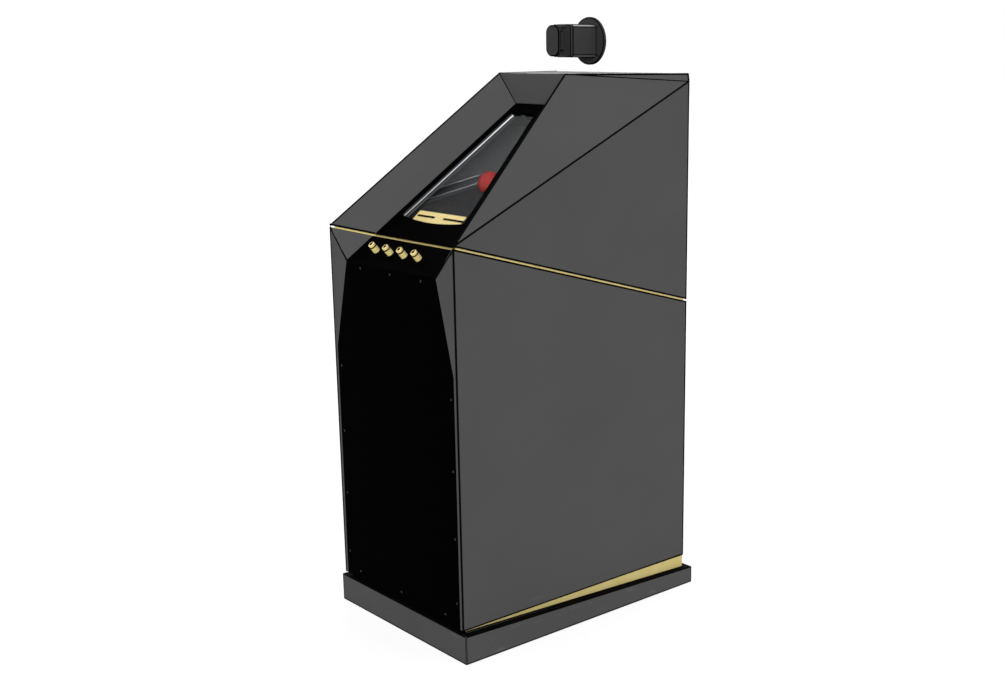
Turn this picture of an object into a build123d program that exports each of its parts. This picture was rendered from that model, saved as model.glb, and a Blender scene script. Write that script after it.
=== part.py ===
from build123d import *
import os
from math import atan2, cos, radians, sin, tan

# A free-standing dance rhythm machine: a boarded cabinet on a plinth, with a faceted hood
# whose sunken face shows a beat hand behind glass, and a swivelling sensor above the roof.
# Millimetres, +Z up. x runs to the right as seen from the front and y runs to the back.
# The origin is the middle of the plinth's underside.

os.makedirs("parts", exist_ok=True)

# ---- Driving dimensions ----
HALF = 284              # half the cabinet's width
DEPTH = 816             # front face to back face
HEIGHT = 1500           # floor to roof
FRONT = -418            # y of the cabinet's front face
BACK = FRONT + DEPTH
BOARD = 12              # thickness of the cabinet's boards
PANEL = 6               # black front panel and window bezel
DECK_SHEET = 4          # black control panel
EDGE = 1.2              # small chamfer round each visible board
LONG_EDGE = 25          # shorter edges stay sharp

PLINTH_HALF = 299
PLINTH_FRONT = FRONT - 3
PLINTH_BACK = 421
PLINTH_FRONT_HEIGHT = 79
PLINTH_BACK_HEIGHT = 49
PLINTH_WALL = 18
CABINET_FOOT = 90       # underside of the bottom board

SEAM_FRONT = 1097.5     # foot of the hood, on top of the brass strip
SEAM_BACK = 867.5
STRIP = 5.5             # thickness of the brass strip in the seam
STRIP_SET = 6           # how far the strip stands back from the faces
ROOF_FRONT = 485        # depth from the front face to the roof's front edge
ROOF_FRONT_HALF = 142
ROOF_BACK_HALF = 281
CORNER_HEIGHT = 1479    # outer back corners of the hood, a little below the roof

DECK_FOOT_HALF = 206    # sunken deck where it meets the front face
DECK_FOOT_HEIGHT = 1010
DECK_RISE = 408         # from the deck's foot to its head, below the roof's front edge
DECK_HEAD_HALF = 69
PANEL_NECK = 761        # where the front panel begins to narrow

REACH = 2000            # larger than any board
RUN = 0.05              # radial clearance of a running fit
GAP = 0.4               # clearance between parts that pass each other

SLOPE = atan2(DECK_RISE, ROOF_FRONT)
UP_SLOPE = Vector(0, cos(SLOPE), sin(SLOPE))
DECK_NORMAL = Vector(0, -sin(SLOPE), cos(SLOPE))
DECK_LENGTH = ROOF_FRONT / cos(SLOPE)


# ---- Helpers ----
def save(name, piece):
    """Label one finished piece and write it."""
    piece.part.label = name
    export_step(piece.part, f"parts/{name}.step")


def plane_through(a, b, c, outward):
    """The plane through three points, with its normal on the outward side."""
    a, b, c = Vector(*a), Vector(*b), Vector(*c)
    normal = (b - a).cross(c - a).normalized()
    if normal.dot(Vector(*outward)) < 0:
        normal = normal * -1
    return Plane(origin=a, x_dir=b - a, z_dir=normal)


def mitre(face, other):
    """The plane halfway between two faces, with its normal away from the first one's board."""
    step = other.z_dir - face.z_dir
    level = (other.origin.dot(other.z_dir) - face.origin.dot(face.z_dir)) / step.length
    normal = step.normalized()
    return Plane(origin=normal * level, z_dir=normal)


def board(face, thickness, corners=(), hollows=(), cuts=(), edge=EDGE):
    """A flat board behind a face: mitred at corners and hollows, cut square elsewhere."""
    with BuildPart() as piece:
        with BuildSketch(face):
            Rectangle(2 * REACH, 2 * REACH)
        extrude(amount=-thickness)
        for other in corners:
            split(bisect_by=mitre(face, other), keep=Keep.BOTTOM)
        for other in hollows:
            split(bisect_by=mitre(face, other), keep=Keep.TOP)
        for other in cuts:
            split(bisect_by=other, keep=Keep.BOTTOM)
        if edge:
            outer = piece.faces().sort_by(Axis(face.origin, face.z_dir))[-1]
            chamfer(outer.edges().filter_by(lambda e: e.length > LONG_EDGE), edge)
    return piece


def turned(place, outline):
    """A round piece about the normal of a plane, from (radius, height) points."""
    side = Plane(origin=place.origin, x_dir=place.x_dir, z_dir=place.y_dir * -1)
    with BuildPart() as piece:
        with BuildSketch(side):
            with BuildLine():
                Polyline(*outline, close=True)
            make_face()
        revolve(axis=Axis(place.origin, place.z_dir))
    return piece


def on_deck(along, depth=0, across=0):
    """A plane parallel to the deck: along is up the slope, depth is below its surface."""
    spot = Vector(across, FRONT, DECK_FOOT_HEIGHT) + UP_SLOPE * along - DECK_NORMAL * depth
    return Plane(origin=spot, x_dir=(1, 0, 0), z_dir=DECK_NORMAL)


def facing_back(x, y, z):
    """A plane whose normal points to the back, with its local y axis up."""
    return Plane(origin=(x, y, z), x_dir=(-1, 0, 0), z_dir=(0, 1, 0))


def facing_front(x, y, z):
    """A plane whose normal points to the front, with its local y axis up."""
    return Plane(origin=(x, y, z), x_dir=(1, 0, 0), z_dir=(0, -1, 0))


# ---- The faces of the cabinet and hood, with their normals outwards ----
ROOF = Plane(origin=(0, 0, HEIGHT), z_dir=(0, 0, 1))
UNDERSIDE = Plane(origin=(0, 0, CABINET_FOOT), z_dir=(0, 0, -1))
FRONT_FACE = facing_front(0, FRONT, 0)
BACK_FACE = facing_back(0, BACK, 0)
HEAD = facing_front(0, FRONT + ROOF_FRONT, HEIGHT)
DECK = on_deck(0)
SEAM = Plane(
    origin=(0, FRONT, SEAM_FRONT), x_dir=(1, 0, 0), z_dir=(0, SEAM_FRONT - SEAM_BACK, DEPTH)
)
SEAM_LOW = SEAM.offset(-STRIP)
ABOVE_SEAM = -SEAM
SIDES = (-1, 1)
SIDE = {}
FACET = {}
BEVEL = {}
CORNER = {}
for side in SIDES:
    seam_corner = (side * HALF, FRONT, SEAM_FRONT)
    roof_corner = (side * ROOF_FRONT_HALF, FRONT + ROOF_FRONT, HEIGHT)
    low_back = (side * HALF, BACK, CORNER_HEIGHT)
    high_back = (side * ROOF_BACK_HALF, BACK, HEIGHT)
    deck_corner = (side * DECK_FOOT_HALF, FRONT, DECK_FOOT_HEIGHT)
    SIDE[side] = Plane(origin=(side * HALF, 0, 0), x_dir=(0, side, 0), z_dir=(side, 0, 0))
    FACET[side] = plane_through(seam_corner, roof_corner, low_back, (side, 0, 1))
    CORNER[side] = plane_through(roof_corner, high_back, low_back, (side, 0, 1))
    BEVEL[side] = plane_through(seam_corner, roof_corner, deck_corner, (-side, -1, 1))
INSIDE = [SIDE[side].offset(-BOARD) for side in SIDES]
NAMES = {-1: "left", 1: "right"}

# ---- Plinth and its feet ----
with BuildPart() as plinth:
    with BuildSketch(Plane.YZ.offset(-PLINTH_HALF)):
        with BuildLine():
            Polyline(
                (PLINTH_FRONT, 0),
                (PLINTH_BACK, 0),
                (PLINTH_BACK, PLINTH_BACK_HEIGHT),
                (PLINTH_FRONT, PLINTH_FRONT_HEIGHT),
                close=True,
            )
        make_face()
    extrude(amount=2 * PLINTH_HALF)
    plinth_top = plinth.faces().sort_by(Axis.Z)[-1]
    chamfer(plinth_top.edges(), EDGE)
    with BuildSketch(Plane.XY):
        with Locations((0, (PLINTH_FRONT + PLINTH_BACK) / 2)):
            Rectangle(
                2 * (PLINTH_HALF - PLINTH_WALL), PLINTH_BACK - PLINTH_FRONT - 2 * PLINTH_WALL
            )
    extrude(amount=PLINTH_BACK_HEIGHT - PLINTH_WALL, mode=Mode.SUBTRACT)
save("plinth", plinth)

FOOT_X = 240
FOOT_Y = 360
CAVITY_TOP = PLINTH_BACK_HEIGHT - PLINTH_WALL
with BuildPart() as levelling_feet:
    with BuildSketch(Plane.XY):
        with GridLocations(2 * FOOT_X, 2 * FOOT_Y, 2, 2):
            Circle(25)
    extrude(amount=8)
    foot_edges = levelling_feet.edges().filter_by(GeomType.CIRCLE).group_by(Axis.Z)[-1]
    chamfer(foot_edges, 2)
    with BuildSketch(Plane.XY.offset(8)):
        with GridLocations(2 * FOOT_X, 2 * FOOT_Y, 2, 2):
            Circle(6)
    extrude(amount=CAVITY_TOP - 8)
save("levelling_feet", levelling_feet)

# ---- Brass riser, a tapered frame that levels the cabinet on the sloping plinth ----
PLINTH_TOP = plane_through(
    (0, PLINTH_FRONT, PLINTH_FRONT_HEIGHT),
    (0, PLINTH_BACK, PLINTH_BACK_HEIGHT),
    (1, PLINTH_BACK, PLINTH_BACK_HEIGHT),
    (0, 0, 1),
)
RISER_FRONT = FRONT + 16
RISER_BACK = BACK - 2
RISER_FRONT_HALF = 272
RISER_BACK_HALF = 283
RISER_WALL = 14
with BuildPart() as brass_riser:
    with BuildSketch(Plane.XY.offset(PLINTH_BACK_HEIGHT - 5)):
        with BuildLine():
            Polyline(
                (-RISER_FRONT_HALF, RISER_FRONT),
                (RISER_FRONT_HALF, RISER_FRONT),
                (RISER_BACK_HALF, RISER_BACK),
                (-RISER_BACK_HALF, RISER_BACK),
                close=True,
            )
        make_face()
        offset(amount=-RISER_WALL, kind=Kind.INTERSECTION, mode=Mode.SUBTRACT)
    extrude(amount=CABINET_FOOT - PLINTH_BACK_HEIGHT + 5)
    split(bisect_by=PLINTH_TOP, keep=Keep.TOP)
save("brass_riser", brass_riser)

# ---- Cabinet boards below the seam ----
for side in SIDES:
    side_board = board(
        SIDE[side],
        BOARD,
        corners=[BEVEL[side]],
        cuts=[FRONT_FACE, BACK_FACE, UNDERSIDE, SEAM_LOW],
    )
    save(f"side_board_{NAMES[side]}", side_board)

bottom_board = board(
    UNDERSIDE, BOARD, cuts=[*INSIDE, FRONT_FACE.offset(-PANEL), BACK_FACE], edge=0
)
save("bottom_board", bottom_board)

DOOR_HALF = 188
DOOR_LOW = 202
DOOR_HIGH = 758
DOOR_PLAY = 2
INLET = (150, 150)      # x and z of the mains inlet
INLET_SIZE = (48, 30)
DOOR_CENTRE = (DOOR_LOW + DOOR_HIGH) / 2
back_board = board(
    BACK_FACE, BOARD, cuts=[*INSIDE, UNDERSIDE.offset(-BOARD), SEAM_LOW], edge=0
)
with BuildPart() as back_frame:
    add(back_board.part)
    with BuildSketch(facing_back(0, BACK, DOOR_CENTRE)):
        Rectangle(2 * (DOOR_HALF + DOOR_PLAY), DOOR_HIGH - DOOR_LOW + 2 * DOOR_PLAY)
    extrude(amount=-BOARD, mode=Mode.SUBTRACT)
    with BuildSketch(facing_back(INLET[0], BACK, INLET[1])):
        Rectangle(*INLET_SIZE)
    extrude(amount=-BOARD, mode=Mode.SUBTRACT)
save("back_frame", back_frame)

# ---- Grey corners and bevels of the front, below the seam ----
gussets = []
small_bevels = []
for side in SIDES:
    neck = (side * (HALF - BOARD), FRONT, PANEL_NECK)
    shoulder = (side * DECK_FOOT_HALF, FRONT, DECK_FOOT_HEIGHT)
    behind = (side * DECK_FOOT_HALF, BACK, DECK_FOOT_HEIGHT)
    panel_edge = plane_through(neck, shoulder, behind, (-side, 0, -1))
    gusset = board(
        FRONT_FACE, BOARD, corners=[BEVEL[side]], cuts=[SIDE[side].offset(-BOARD), panel_edge]
    )
    gussets.append(gusset.part)
    small_bevel = board(
        BEVEL[side],
        BOARD,
        corners=[SIDE[side], FRONT_FACE],
        hollows=[DECK],
        cuts=[SEAM_LOW],
        edge=0.8,
    )
    small_bevels.append(small_bevel.part)
with BuildPart() as front_gussets:
    add(gussets)
save("front_gussets", front_gussets)

with BuildPart() as lower_bevels:
    add(small_bevels)
save("lower_bevels", lower_bevels)

# ---- Black front panel, the battens behind it, and its screws ----
SCREW_COLUMN = 258
SCREW_HEIGHTS = (159, 336, 519, 708)
TOP_SCREWS = (-140, 0, 140)
TOP_SCREW_HEIGHT = 995
BOTTOM_SCREWS = (-205, 0, 205)
BOTTOM_SCREW_HEIGHT = 112
screw_spots = [(side * SCREW_COLUMN, z) for side in SIDES for z in SCREW_HEIGHTS]
screw_spots += [(x, TOP_SCREW_HEIGHT) for x in TOP_SCREWS]
screw_spots += [(x, BOTTOM_SCREW_HEIGHT) for x in BOTTOM_SCREWS]
SCREW_SHANK = 2
SCREW_HEAD = 4

with BuildPart() as front_panel:
    with BuildSketch(FRONT_FACE):
        with BuildLine():
            Polyline(
                (-HALF + BOARD, CABINET_FOOT),
                (HALF - BOARD, CABINET_FOOT),
                (HALF - BOARD, PANEL_NECK),
                (DECK_FOOT_HALF, DECK_FOOT_HEIGHT),
                (-DECK_FOOT_HALF, DECK_FOOT_HEIGHT),
                (-HALF + BOARD, PANEL_NECK),
                close=True,
            )
        make_face()
    extrude(amount=-PANEL)
    split(bisect_by=mitre(FRONT_FACE, DECK), keep=Keep.BOTTOM)
    with Locations(FRONT_FACE):
        with Locations(*screw_spots):
            CounterSinkHole(SCREW_SHANK + 0.2, SCREW_HEAD, depth=PANEL)
save("front_panel", front_panel)

BATTEN = 28
BATTEN_DEPTH = 20
BATTEN_CENTRE = 440
TOP_BATTEN_LENGTH = 352
TOP_BATTEN_HEIGHT = 992
PILOT = SCREW_SHANK - 0.3
with BuildPart() as front_battens:
    with BuildSketch(FRONT_FACE.offset(-PANEL)):
        for side in SIDES:
            with Locations((side * (HALF - BOARD - BATTEN / 2), BATTEN_CENTRE)):
                Rectangle(BATTEN, 2 * (PANEL_NECK - BATTEN_CENTRE - BATTEN))
        with Locations((0, CABINET_FOOT + BOARD + BATTEN / 2)):
            Rectangle(2 * (HALF - BOARD), BATTEN)
        with Locations((0, TOP_BATTEN_HEIGHT)):
            Rectangle(TOP_BATTEN_LENGTH, BATTEN)
    extrude(amount=-BATTEN_DEPTH)
    with Locations(FRONT_FACE.offset(-PANEL)):
        with Locations(*screw_spots):
            Hole(PILOT, depth=BATTEN_DEPTH - 4)
save("front_battens", front_battens)

SCREW_OUTLINE = [
    (0, -0.8),
    (SCREW_HEAD - 0.8, -0.8),
    (SCREW_SHANK, -2.2),
    (SCREW_SHANK, -18),
    (0, -20),
]
screws = [turned(facing_front(x, FRONT, z), SCREW_OUTLINE).part for x, z in screw_spots]
with BuildPart() as front_panel_screws:
    add(screws)
save("front_panel_screws", front_panel_screws)

# ---- Control panel on the lower end of the deck, with four potentiometers and knobs ----
KNOB_ALONG = 46
KNOB_PITCH = 65
KNOB_ROW_OFFSET = -8.5  # the row sits a little left of the middle
KNOB_RADIUS = 9.7
KNOB_HEIGHT = 30
BUSHING = 3.5
SHAFT = 3
knob_spots = [KNOB_ROW_OFFSET + (i - 1.5) * KNOB_PITCH for i in range(4)]

deck_board = board(
    DECK,
    DECK_SHEET,
    corners=[FRONT_FACE],
    hollows=[BEVEL[-1], BEVEL[1]],
    cuts=[SEAM_LOW],
    edge=0,
)
with BuildPart() as control_panel:
    add(deck_board.part)
    for x in knob_spots:
        with Locations(on_deck(KNOB_ALONG, 0, x)):
            Hole(BUSHING + 0.1, depth=DECK_SHEET)
save("control_panel", control_panel)

POT_RADIUS = 12
POT_DEPTH = 10
POT_OUTLINE = [
    (SHAFT + RUN, DECK_SHEET + 3),
    (BUSHING, DECK_SHEET + 3),
    (BUSHING, 0),
    (POT_RADIUS, 0),
    (POT_RADIUS, -POT_DEPTH),
    (0, -POT_DEPTH),
    (0, -8.5),
    (SHAFT + RUN, -8.5),
]
pots = [turned(on_deck(KNOB_ALONG, DECK_SHEET, x), POT_OUTLINE).part for x in knob_spots]
with BuildPart() as potentiometers:
    add(pots)
    for x in knob_spots:
        with BuildSketch(on_deck(KNOB_ALONG, 0, x)):
            RegularPolygon(5.6, 6)
            Circle(BUSHING, mode=Mode.SUBTRACT)
        extrude(amount=2)
save("potentiometers", potentiometers)

SPINDLE_TOP = 22
KNOB_OUTLINE = [
    (SHAFT, 5),
    (SHAFT, SPINDLE_TOP),
    (0, SPINDLE_TOP),
    (0, KNOB_HEIGHT),
    (KNOB_RADIUS - 1.8, KNOB_HEIGHT),
    (KNOB_RADIUS - 0.7, KNOB_HEIGHT - 1),
    (KNOB_RADIUS - 0.5, 21),
    (KNOB_RADIUS - 1.4, 21),
    (KNOB_RADIUS - 1.4, 19.6),
    (KNOB_RADIUS, 19.6),
    (KNOB_RADIUS, 1.8),
    (KNOB_RADIUS - 0.8, 1),
    (7, 1),
    (7, 5),
]
SPINDLE_OUTLINE = [(0, -11.5), (SHAFT, -11.5), (SHAFT, SPINDLE_TOP), (0, SPINDLE_TOP)]
for number, x in enumerate(knob_spots, 1):
    place = on_deck(KNOB_ALONG, 0, x)
    shell = turned(place, KNOB_OUTLINE)
    spindle = turned(place, SPINDLE_OUTLINE)
    with BuildPart() as knob:
        add(shell.part)
        with Locations(on_deck(KNOB_ALONG + 5.2, -KNOB_HEIGHT, x)):
            Hole(1.3, depth=1.2)
    knob_group = Compound(children=[knob.part, spindle.part])
    knob_group.label = f"knob_{number}"
    export_step(knob_group, f"parts/knob_{number}.step")

# ---- Brass strip in the seam, following the outline of the cabinet ----
STRIP_INNER = BOARD + STRIP_SET
with BuildPart() as recess:
    with BuildSketch(DECK.offset(-STRIP_SET)):
        Rectangle(2 * REACH, 2 * REACH)
    extrude(amount=400)
    for side in SIDES:
        split(bisect_by=BEVEL[side].offset(-STRIP_SET), keep=Keep.TOP)

with BuildPart() as brass_seam_strip:
    with BuildSketch(SEAM):
        Rectangle(2 * REACH, 2 * REACH)
    extrude(amount=-STRIP)
    for outer in (FRONT_FACE, BACK_FACE, SIDE[-1], SIDE[1]):
        split(bisect_by=outer.offset(-STRIP_SET), keep=Keep.BOTTOM)
    add(recess.part, mode=Mode.SUBTRACT)
    with BuildSketch(Plane.XY.offset(SEAM_BACK - 100)):
        with BuildLine():
            Polyline(
                (-HALF + STRIP_INNER, BACK - STRIP_INNER),
                (HALF - STRIP_INNER, BACK - STRIP_INNER),
                (HALF - STRIP_INNER, FRONT + 60),
                (DECK_FOOT_HALF - 26, FRONT + 102),
                (-DECK_FOOT_HALF + 26, FRONT + 102),
                (-HALF + STRIP_INNER, FRONT + 60),
                close=True,
            )
        make_face()
    extrude(amount=500, mode=Mode.SUBTRACT)
save("brass_seam_strip", brass_seam_strip)

# ---- Hood boards ----
facets = {}
bevels = {}
for side in SIDES:
    name = NAMES[side]
    hood_side = board(
        SIDE[side],
        BOARD,
        corners=[FACET[side], BACK_FACE, BEVEL[side]],
        cuts=[ABOVE_SEAM],
        edge=0,
    )
    save(f"hood_side_{name}", hood_side)
    facets[side] = board(
        FACET[side],
        BOARD,
        corners=[SIDE[side], BACK_FACE, BEVEL[side]],
        hollows=[CORNER[side]],
        cuts=[ABOVE_SEAM],
        edge=0,
    )
    save(f"hood_facet_{name}", facets[side])
    bevels[side] = board(
        BEVEL[side],
        BOARD,
        corners=[FACET[side], SIDE[side], ROOF],
        hollows=[DECK, HEAD],
        cuts=[ABOVE_SEAM],
    )
    save(f"hood_bevel_{name}", bevels[side])

# The roof's side edges turn down to meet the facets.
roof_sheet = board(ROOF, BOARD, corners=[HEAD, BACK_FACE, CORNER[-1], CORNER[1]], edge=0)
lips = [
    board(CORNER[side], BOARD, corners=[ROOF, BACK_FACE], hollows=[FACET[side]], edge=0).part
    for side in SIDES
]
with BuildPart() as roof_board:
    add(roof_sheet.part)
    add(lips)
    for side in SIDES:
        add(bevels[side].part, mode=Mode.SUBTRACT)
        add(facets[side].part, mode=Mode.SUBTRACT)
save("roof_board", roof_board)
head_board = board(
    HEAD, BOARD, corners=[ROOF], hollows=[DECK, BEVEL[-1], BEVEL[1]]
)
save("head_board", head_board)

# ---- Back of the hood, with its vent slots and speaker holes ----
VENT_HEIGHT = 1390
VENT_HALF = 36
SPEAKER_X = 150
SPEAKER_Z = 1150
SPEAKER_HOLE = 54
hood_back = board(
    BACK_FACE,
    BOARD,
    corners=[ROOF, SIDE[-1], SIDE[1], CORNER[-1], CORNER[1]],
    cuts=[ABOVE_SEAM],
)
with BuildPart() as hood_back_board:
    add(hood_back.part)
    for side in SIDES:
        add(facets[side].part, mode=Mode.SUBTRACT)
    with BuildSketch(facing_back(0, BACK, VENT_HEIGHT)):
        with GridLocations(0, 11, 1, 6):
            SlotOverall(2 * VENT_HALF, 6)
    extrude(amount=-BOARD, mode=Mode.SUBTRACT)
    with BuildSketch(facing_back(0, BACK, SPEAKER_Z)):
        with Locations((-SPEAKER_X, 0), (SPEAKER_X, 0)):
            Circle(SPEAKER_HOLE)
    extrude(amount=-BOARD, mode=Mode.SUBTRACT)
save("hood_back_board", hood_back_board)

# ---- Window: black bezel, glass, light strips and brass plate ----
WINDOW_BAND = 27.5      # width of the bezel beside the window
WINDOW_TOP = 595
WINDOW_ENDS = 183       # ends of the curved lower edge
WINDOW_SAG = 169        # its lowest point
GLASS = 4
GLASS_LAP = 10          # glass behind the bezel at each end
GLASS_SIDE_LAP = 18     # and along each side
TAPER = (DECK_FOOT_HALF - DECK_HEAD_HALF) / DECK_LENGTH


def window_half(along):
    """Half the window's width at a distance up the slope."""
    return DECK_FOOT_HALF - TAPER * along - WINDOW_BAND


bezel_board = board(DECK, PANEL, hollows=[BEVEL[-1], BEVEL[1], HEAD], cuts=[ABOVE_SEAM], edge=0)
with BuildPart() as window_bezel:
    add(bezel_board.part)
    with BuildSketch(DECK):
        with BuildLine():
            Polyline(
                (-window_half(WINDOW_ENDS), WINDOW_ENDS),
                (-window_half(WINDOW_TOP), WINDOW_TOP),
                (window_half(WINDOW_TOP), WINDOW_TOP),
                (window_half(WINDOW_ENDS), WINDOW_ENDS),
            )
            ThreePointArc(
                (-window_half(WINDOW_ENDS), WINDOW_ENDS),
                (0, WINDOW_SAG),
                (window_half(WINDOW_ENDS), WINDOW_ENDS),
            )
        make_face()
    extrude(amount=-PANEL, mode=Mode.SUBTRACT)
save("window_bezel", window_bezel)

GLASS_LOW = WINDOW_SAG - GLASS_LAP
GLASS_HIGH = WINDOW_TOP + GLASS_LAP
with BuildPart() as window_glass:
    with BuildSketch(on_deck(0, PANEL)):
        with BuildLine():
            Polyline(
                (-window_half(GLASS_LOW) - GLASS_SIDE_LAP, GLASS_LOW),
                (window_half(GLASS_LOW) + GLASS_SIDE_LAP, GLASS_LOW),
                (window_half(GLASS_HIGH) + GLASS_SIDE_LAP, GLASS_HIGH),
                (-window_half(GLASS_HIGH) - GLASS_SIDE_LAP, GLASS_HIGH),
                close=True,
            )
        make_face()
    extrude(amount=-GLASS)
save("window_glass", window_glass)

LIGHT_DEPTH = PANEL + GLASS
LIGHT_WIDTH = 1.8
LIGHT_DROP = 5
LIGHT_OUT = 11.6        # how far the strips lie outside the window's edges at their feet
LIGHT_OUT_TOP = 7.2     # and at their tops
LIGHT_TOP = WINDOW_TOP + 2
with BuildPart() as light_strips:
    with BuildSketch(on_deck(0, LIGHT_DEPTH)):
        for side in SIDES:
            with BuildLine():
                Polyline(
                    (side * (window_half(WINDOW_ENDS) + LIGHT_OUT), WINDOW_ENDS),
                    (side * (window_half(WINDOW_ENDS) + LIGHT_OUT + LIGHT_WIDTH), WINDOW_ENDS),
                    (side * (window_half(LIGHT_TOP) + LIGHT_OUT_TOP + LIGHT_WIDTH), LIGHT_TOP),
                    (side * (window_half(LIGHT_TOP) + LIGHT_OUT_TOP), LIGHT_TOP),
                    close=True,
                )
            make_face()
    extrude(amount=-LIGHT_DROP)
save("light_strips", light_strips)

PLATE_DEPTH = 14
PLATE_HALF = 104
PLATE_LOW = 148
PLATE_HIGH = 218
PLATE_SHEET = 2
PLATE_SLOTS = ((-60, 64), (64, 78))     # middle and length of each slot
PLATE_SLOT_ALONG = 200
with BuildPart() as brass_plate:
    with BuildSketch(on_deck(0, PLATE_DEPTH)):
        with Locations((0, (PLATE_LOW + PLATE_HIGH) / 2)):
            RectangleRounded(2 * PLATE_HALF, PLATE_HIGH - PLATE_LOW, 2)
        for middle, length in PLATE_SLOTS:
            with Locations((middle, PLATE_SLOT_ALONG)):
                SlotOverall(length, 4.5, mode=Mode.SUBTRACT)
    extrude(amount=-PLATE_SHEET)
save("brass_plate", brass_plate)

# ---- Dial: backboard on spacers, pale sector, beat hand, red dome and gearmotor ----
DIAL_ALONG = 385        # the hand's axis, up the slope
HAND_DEPTH = 61         # upper surface of the hand
HAND_SHEET = 6
BOARD_DEPTH = 88
BACK_SHEET = 6
SECTOR_SHEET = 2
BACKBOARD_HALF = 250
BACKBOARD_LOW = 112
BACKBOARD_HIGH = 645
SPACER = 5
UPPER_SPACERS = [(-46, 618), (46, 618)]
LOWER_SPACERS = [(-150, 130), (150, 130)]
PLATE_SPACERS = [(-90, 163), (90, 163)]
SHAFT_RADIUS = 4
AXIS_PLAY = 1

with BuildPart() as window_spacers:
    with BuildSketch(on_deck(0, PANEL)):
        with Locations(*UPPER_SPACERS, *LOWER_SPACERS):
            Circle(SPACER)
    extrude(amount=PANEL - BOARD_DEPTH)
    with BuildSketch(on_deck(0, LIGHT_DEPTH)):
        with Locations(*PLATE_SPACERS):
            Circle(SPACER - 1)
    extrude(amount=LIGHT_DEPTH - PLATE_DEPTH)
save("window_spacers", window_spacers)

with BuildPart() as dial_backboard:
    with BuildSketch(on_deck(0, BOARD_DEPTH)):
        with Locations((0, (BACKBOARD_LOW + BACKBOARD_HIGH) / 2)):
            Rectangle(2 * BACKBOARD_HALF, BACKBOARD_HIGH - BACKBOARD_LOW)
        with Locations((0, DIAL_ALONG)):
            Circle(SHAFT_RADIUS + AXIS_PLAY, mode=Mode.SUBTRACT)
    extrude(amount=-BACK_SHEET)
save("dial_backboard", dial_backboard)

REST_DROP = 27.7        # the hand rests this many degrees below level
SECTOR_APEX = 430
SECTOR_HALF = 235
SECTOR_DROP = SECTOR_HALF * tan(radians(REST_DROP))
with BuildPart() as dial_sector:
    with BuildSketch(on_deck(0, BOARD_DEPTH - SECTOR_SHEET)):
        with BuildLine():
            Polyline(
                (0, SECTOR_APEX),
                (SECTOR_HALF, SECTOR_APEX - SECTOR_DROP),
                (SECTOR_HALF, BACKBOARD_HIGH - 10),
                (-SECTOR_HALF, BACKBOARD_HIGH - 10),
                (-SECTOR_HALF, SECTOR_APEX - SECTOR_DROP),
                close=True,
            )
        make_face()
        with Locations(*UPPER_SPACERS):
            Circle(SPACER + 0.5, mode=Mode.SUBTRACT)
    extrude(amount=-SECTOR_SHEET)
save("dial_sector", dial_sector)

HUB_RADIUS = 33
HAND_LOWER = 14.5       # offsets of the hand's edges from its axis
HAND_UPPER = 53
HAND_REACH = 227
HAND_TURN = Location((0, 0, 0), (0, 0, 180 + REST_DROP))
HAND_PLANE = Plane(on_deck(DIAL_ALONG, HAND_DEPTH).location * HAND_TURN)
with BuildPart() as beat_hand:
    with BuildSketch(HAND_PLANE):
        with BuildLine():
            Polyline(
                (0, -HAND_LOWER),
                (HAND_REACH, -HAND_LOWER),
                (HAND_REACH - 31, -HAND_UPPER),
                (48, -HAND_UPPER),
                (0, -HUB_RADIUS + 4),
                close=True,
            )
        make_face()
        Circle(HUB_RADIUS)
        Circle(SHAFT_RADIUS, mode=Mode.SUBTRACT)
    extrude(amount=-HAND_SHEET)
save("beat_hand", beat_hand)

DOME_RADIUS = 34.5
DOME_CENTRE = 5         # the sphere's centre lies this far below the hand's surface
with BuildPart() as beat_dome:
    with Locations(on_deck(DIAL_ALONG, HAND_DEPTH + DOME_CENTRE)):
        Sphere(DOME_RADIUS)
    split(bisect_by=on_deck(DIAL_ALONG, HAND_DEPTH), keep=Keep.TOP)
save("beat_dome", beat_dome)

MOTOR_DEPTH = BOARD_DEPTH + BACK_SHEET
BORE_END = -14
hand_shaft = turned(
    on_deck(DIAL_ALONG, MOTOR_DEPTH),
    [
        (0, BORE_END + 1),
        (SHAFT_RADIUS, BORE_END + 1),
        (SHAFT_RADIUS, MOTOR_DEPTH - HAND_DEPTH),
        (0, MOTOR_DEPTH - HAND_DEPTH),
    ],
)
save("hand_shaft", hand_shaft)
gearmotor = turned(
    on_deck(DIAL_ALONG, MOTOR_DEPTH),
    [
        (SHAFT_RADIUS + RUN, 0),
        (18.5, 0),
        (18.5, -24),
        (16.5, -24),
        (16.5, -54),
        (6, -54),
        (6, -57),
        (0, -57),
        (0, BORE_END),
        (SHAFT_RADIUS + RUN, BORE_END),
    ],
)
save("gearmotor", gearmotor)

# ---- Service door, its hinges and cam lock ----
LOCK_X = -165
LOCK_Z = 480
BARREL = 9.5
PLUG = 6
with BuildPart() as service_door:
    with BuildSketch(facing_back(0, BACK, DOOR_CENTRE)):
        Rectangle(2 * DOOR_HALF, DOOR_HIGH - DOOR_LOW)
    extrude(amount=-BOARD)
    outer = service_door.faces().sort_by(Axis.Y)[-1]
    chamfer(outer.edges(), EDGE)
    with Locations(facing_back(LOCK_X, BACK, LOCK_Z)):
        Hole(BARREL, depth=BOARD)
save("service_door", service_door)

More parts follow.
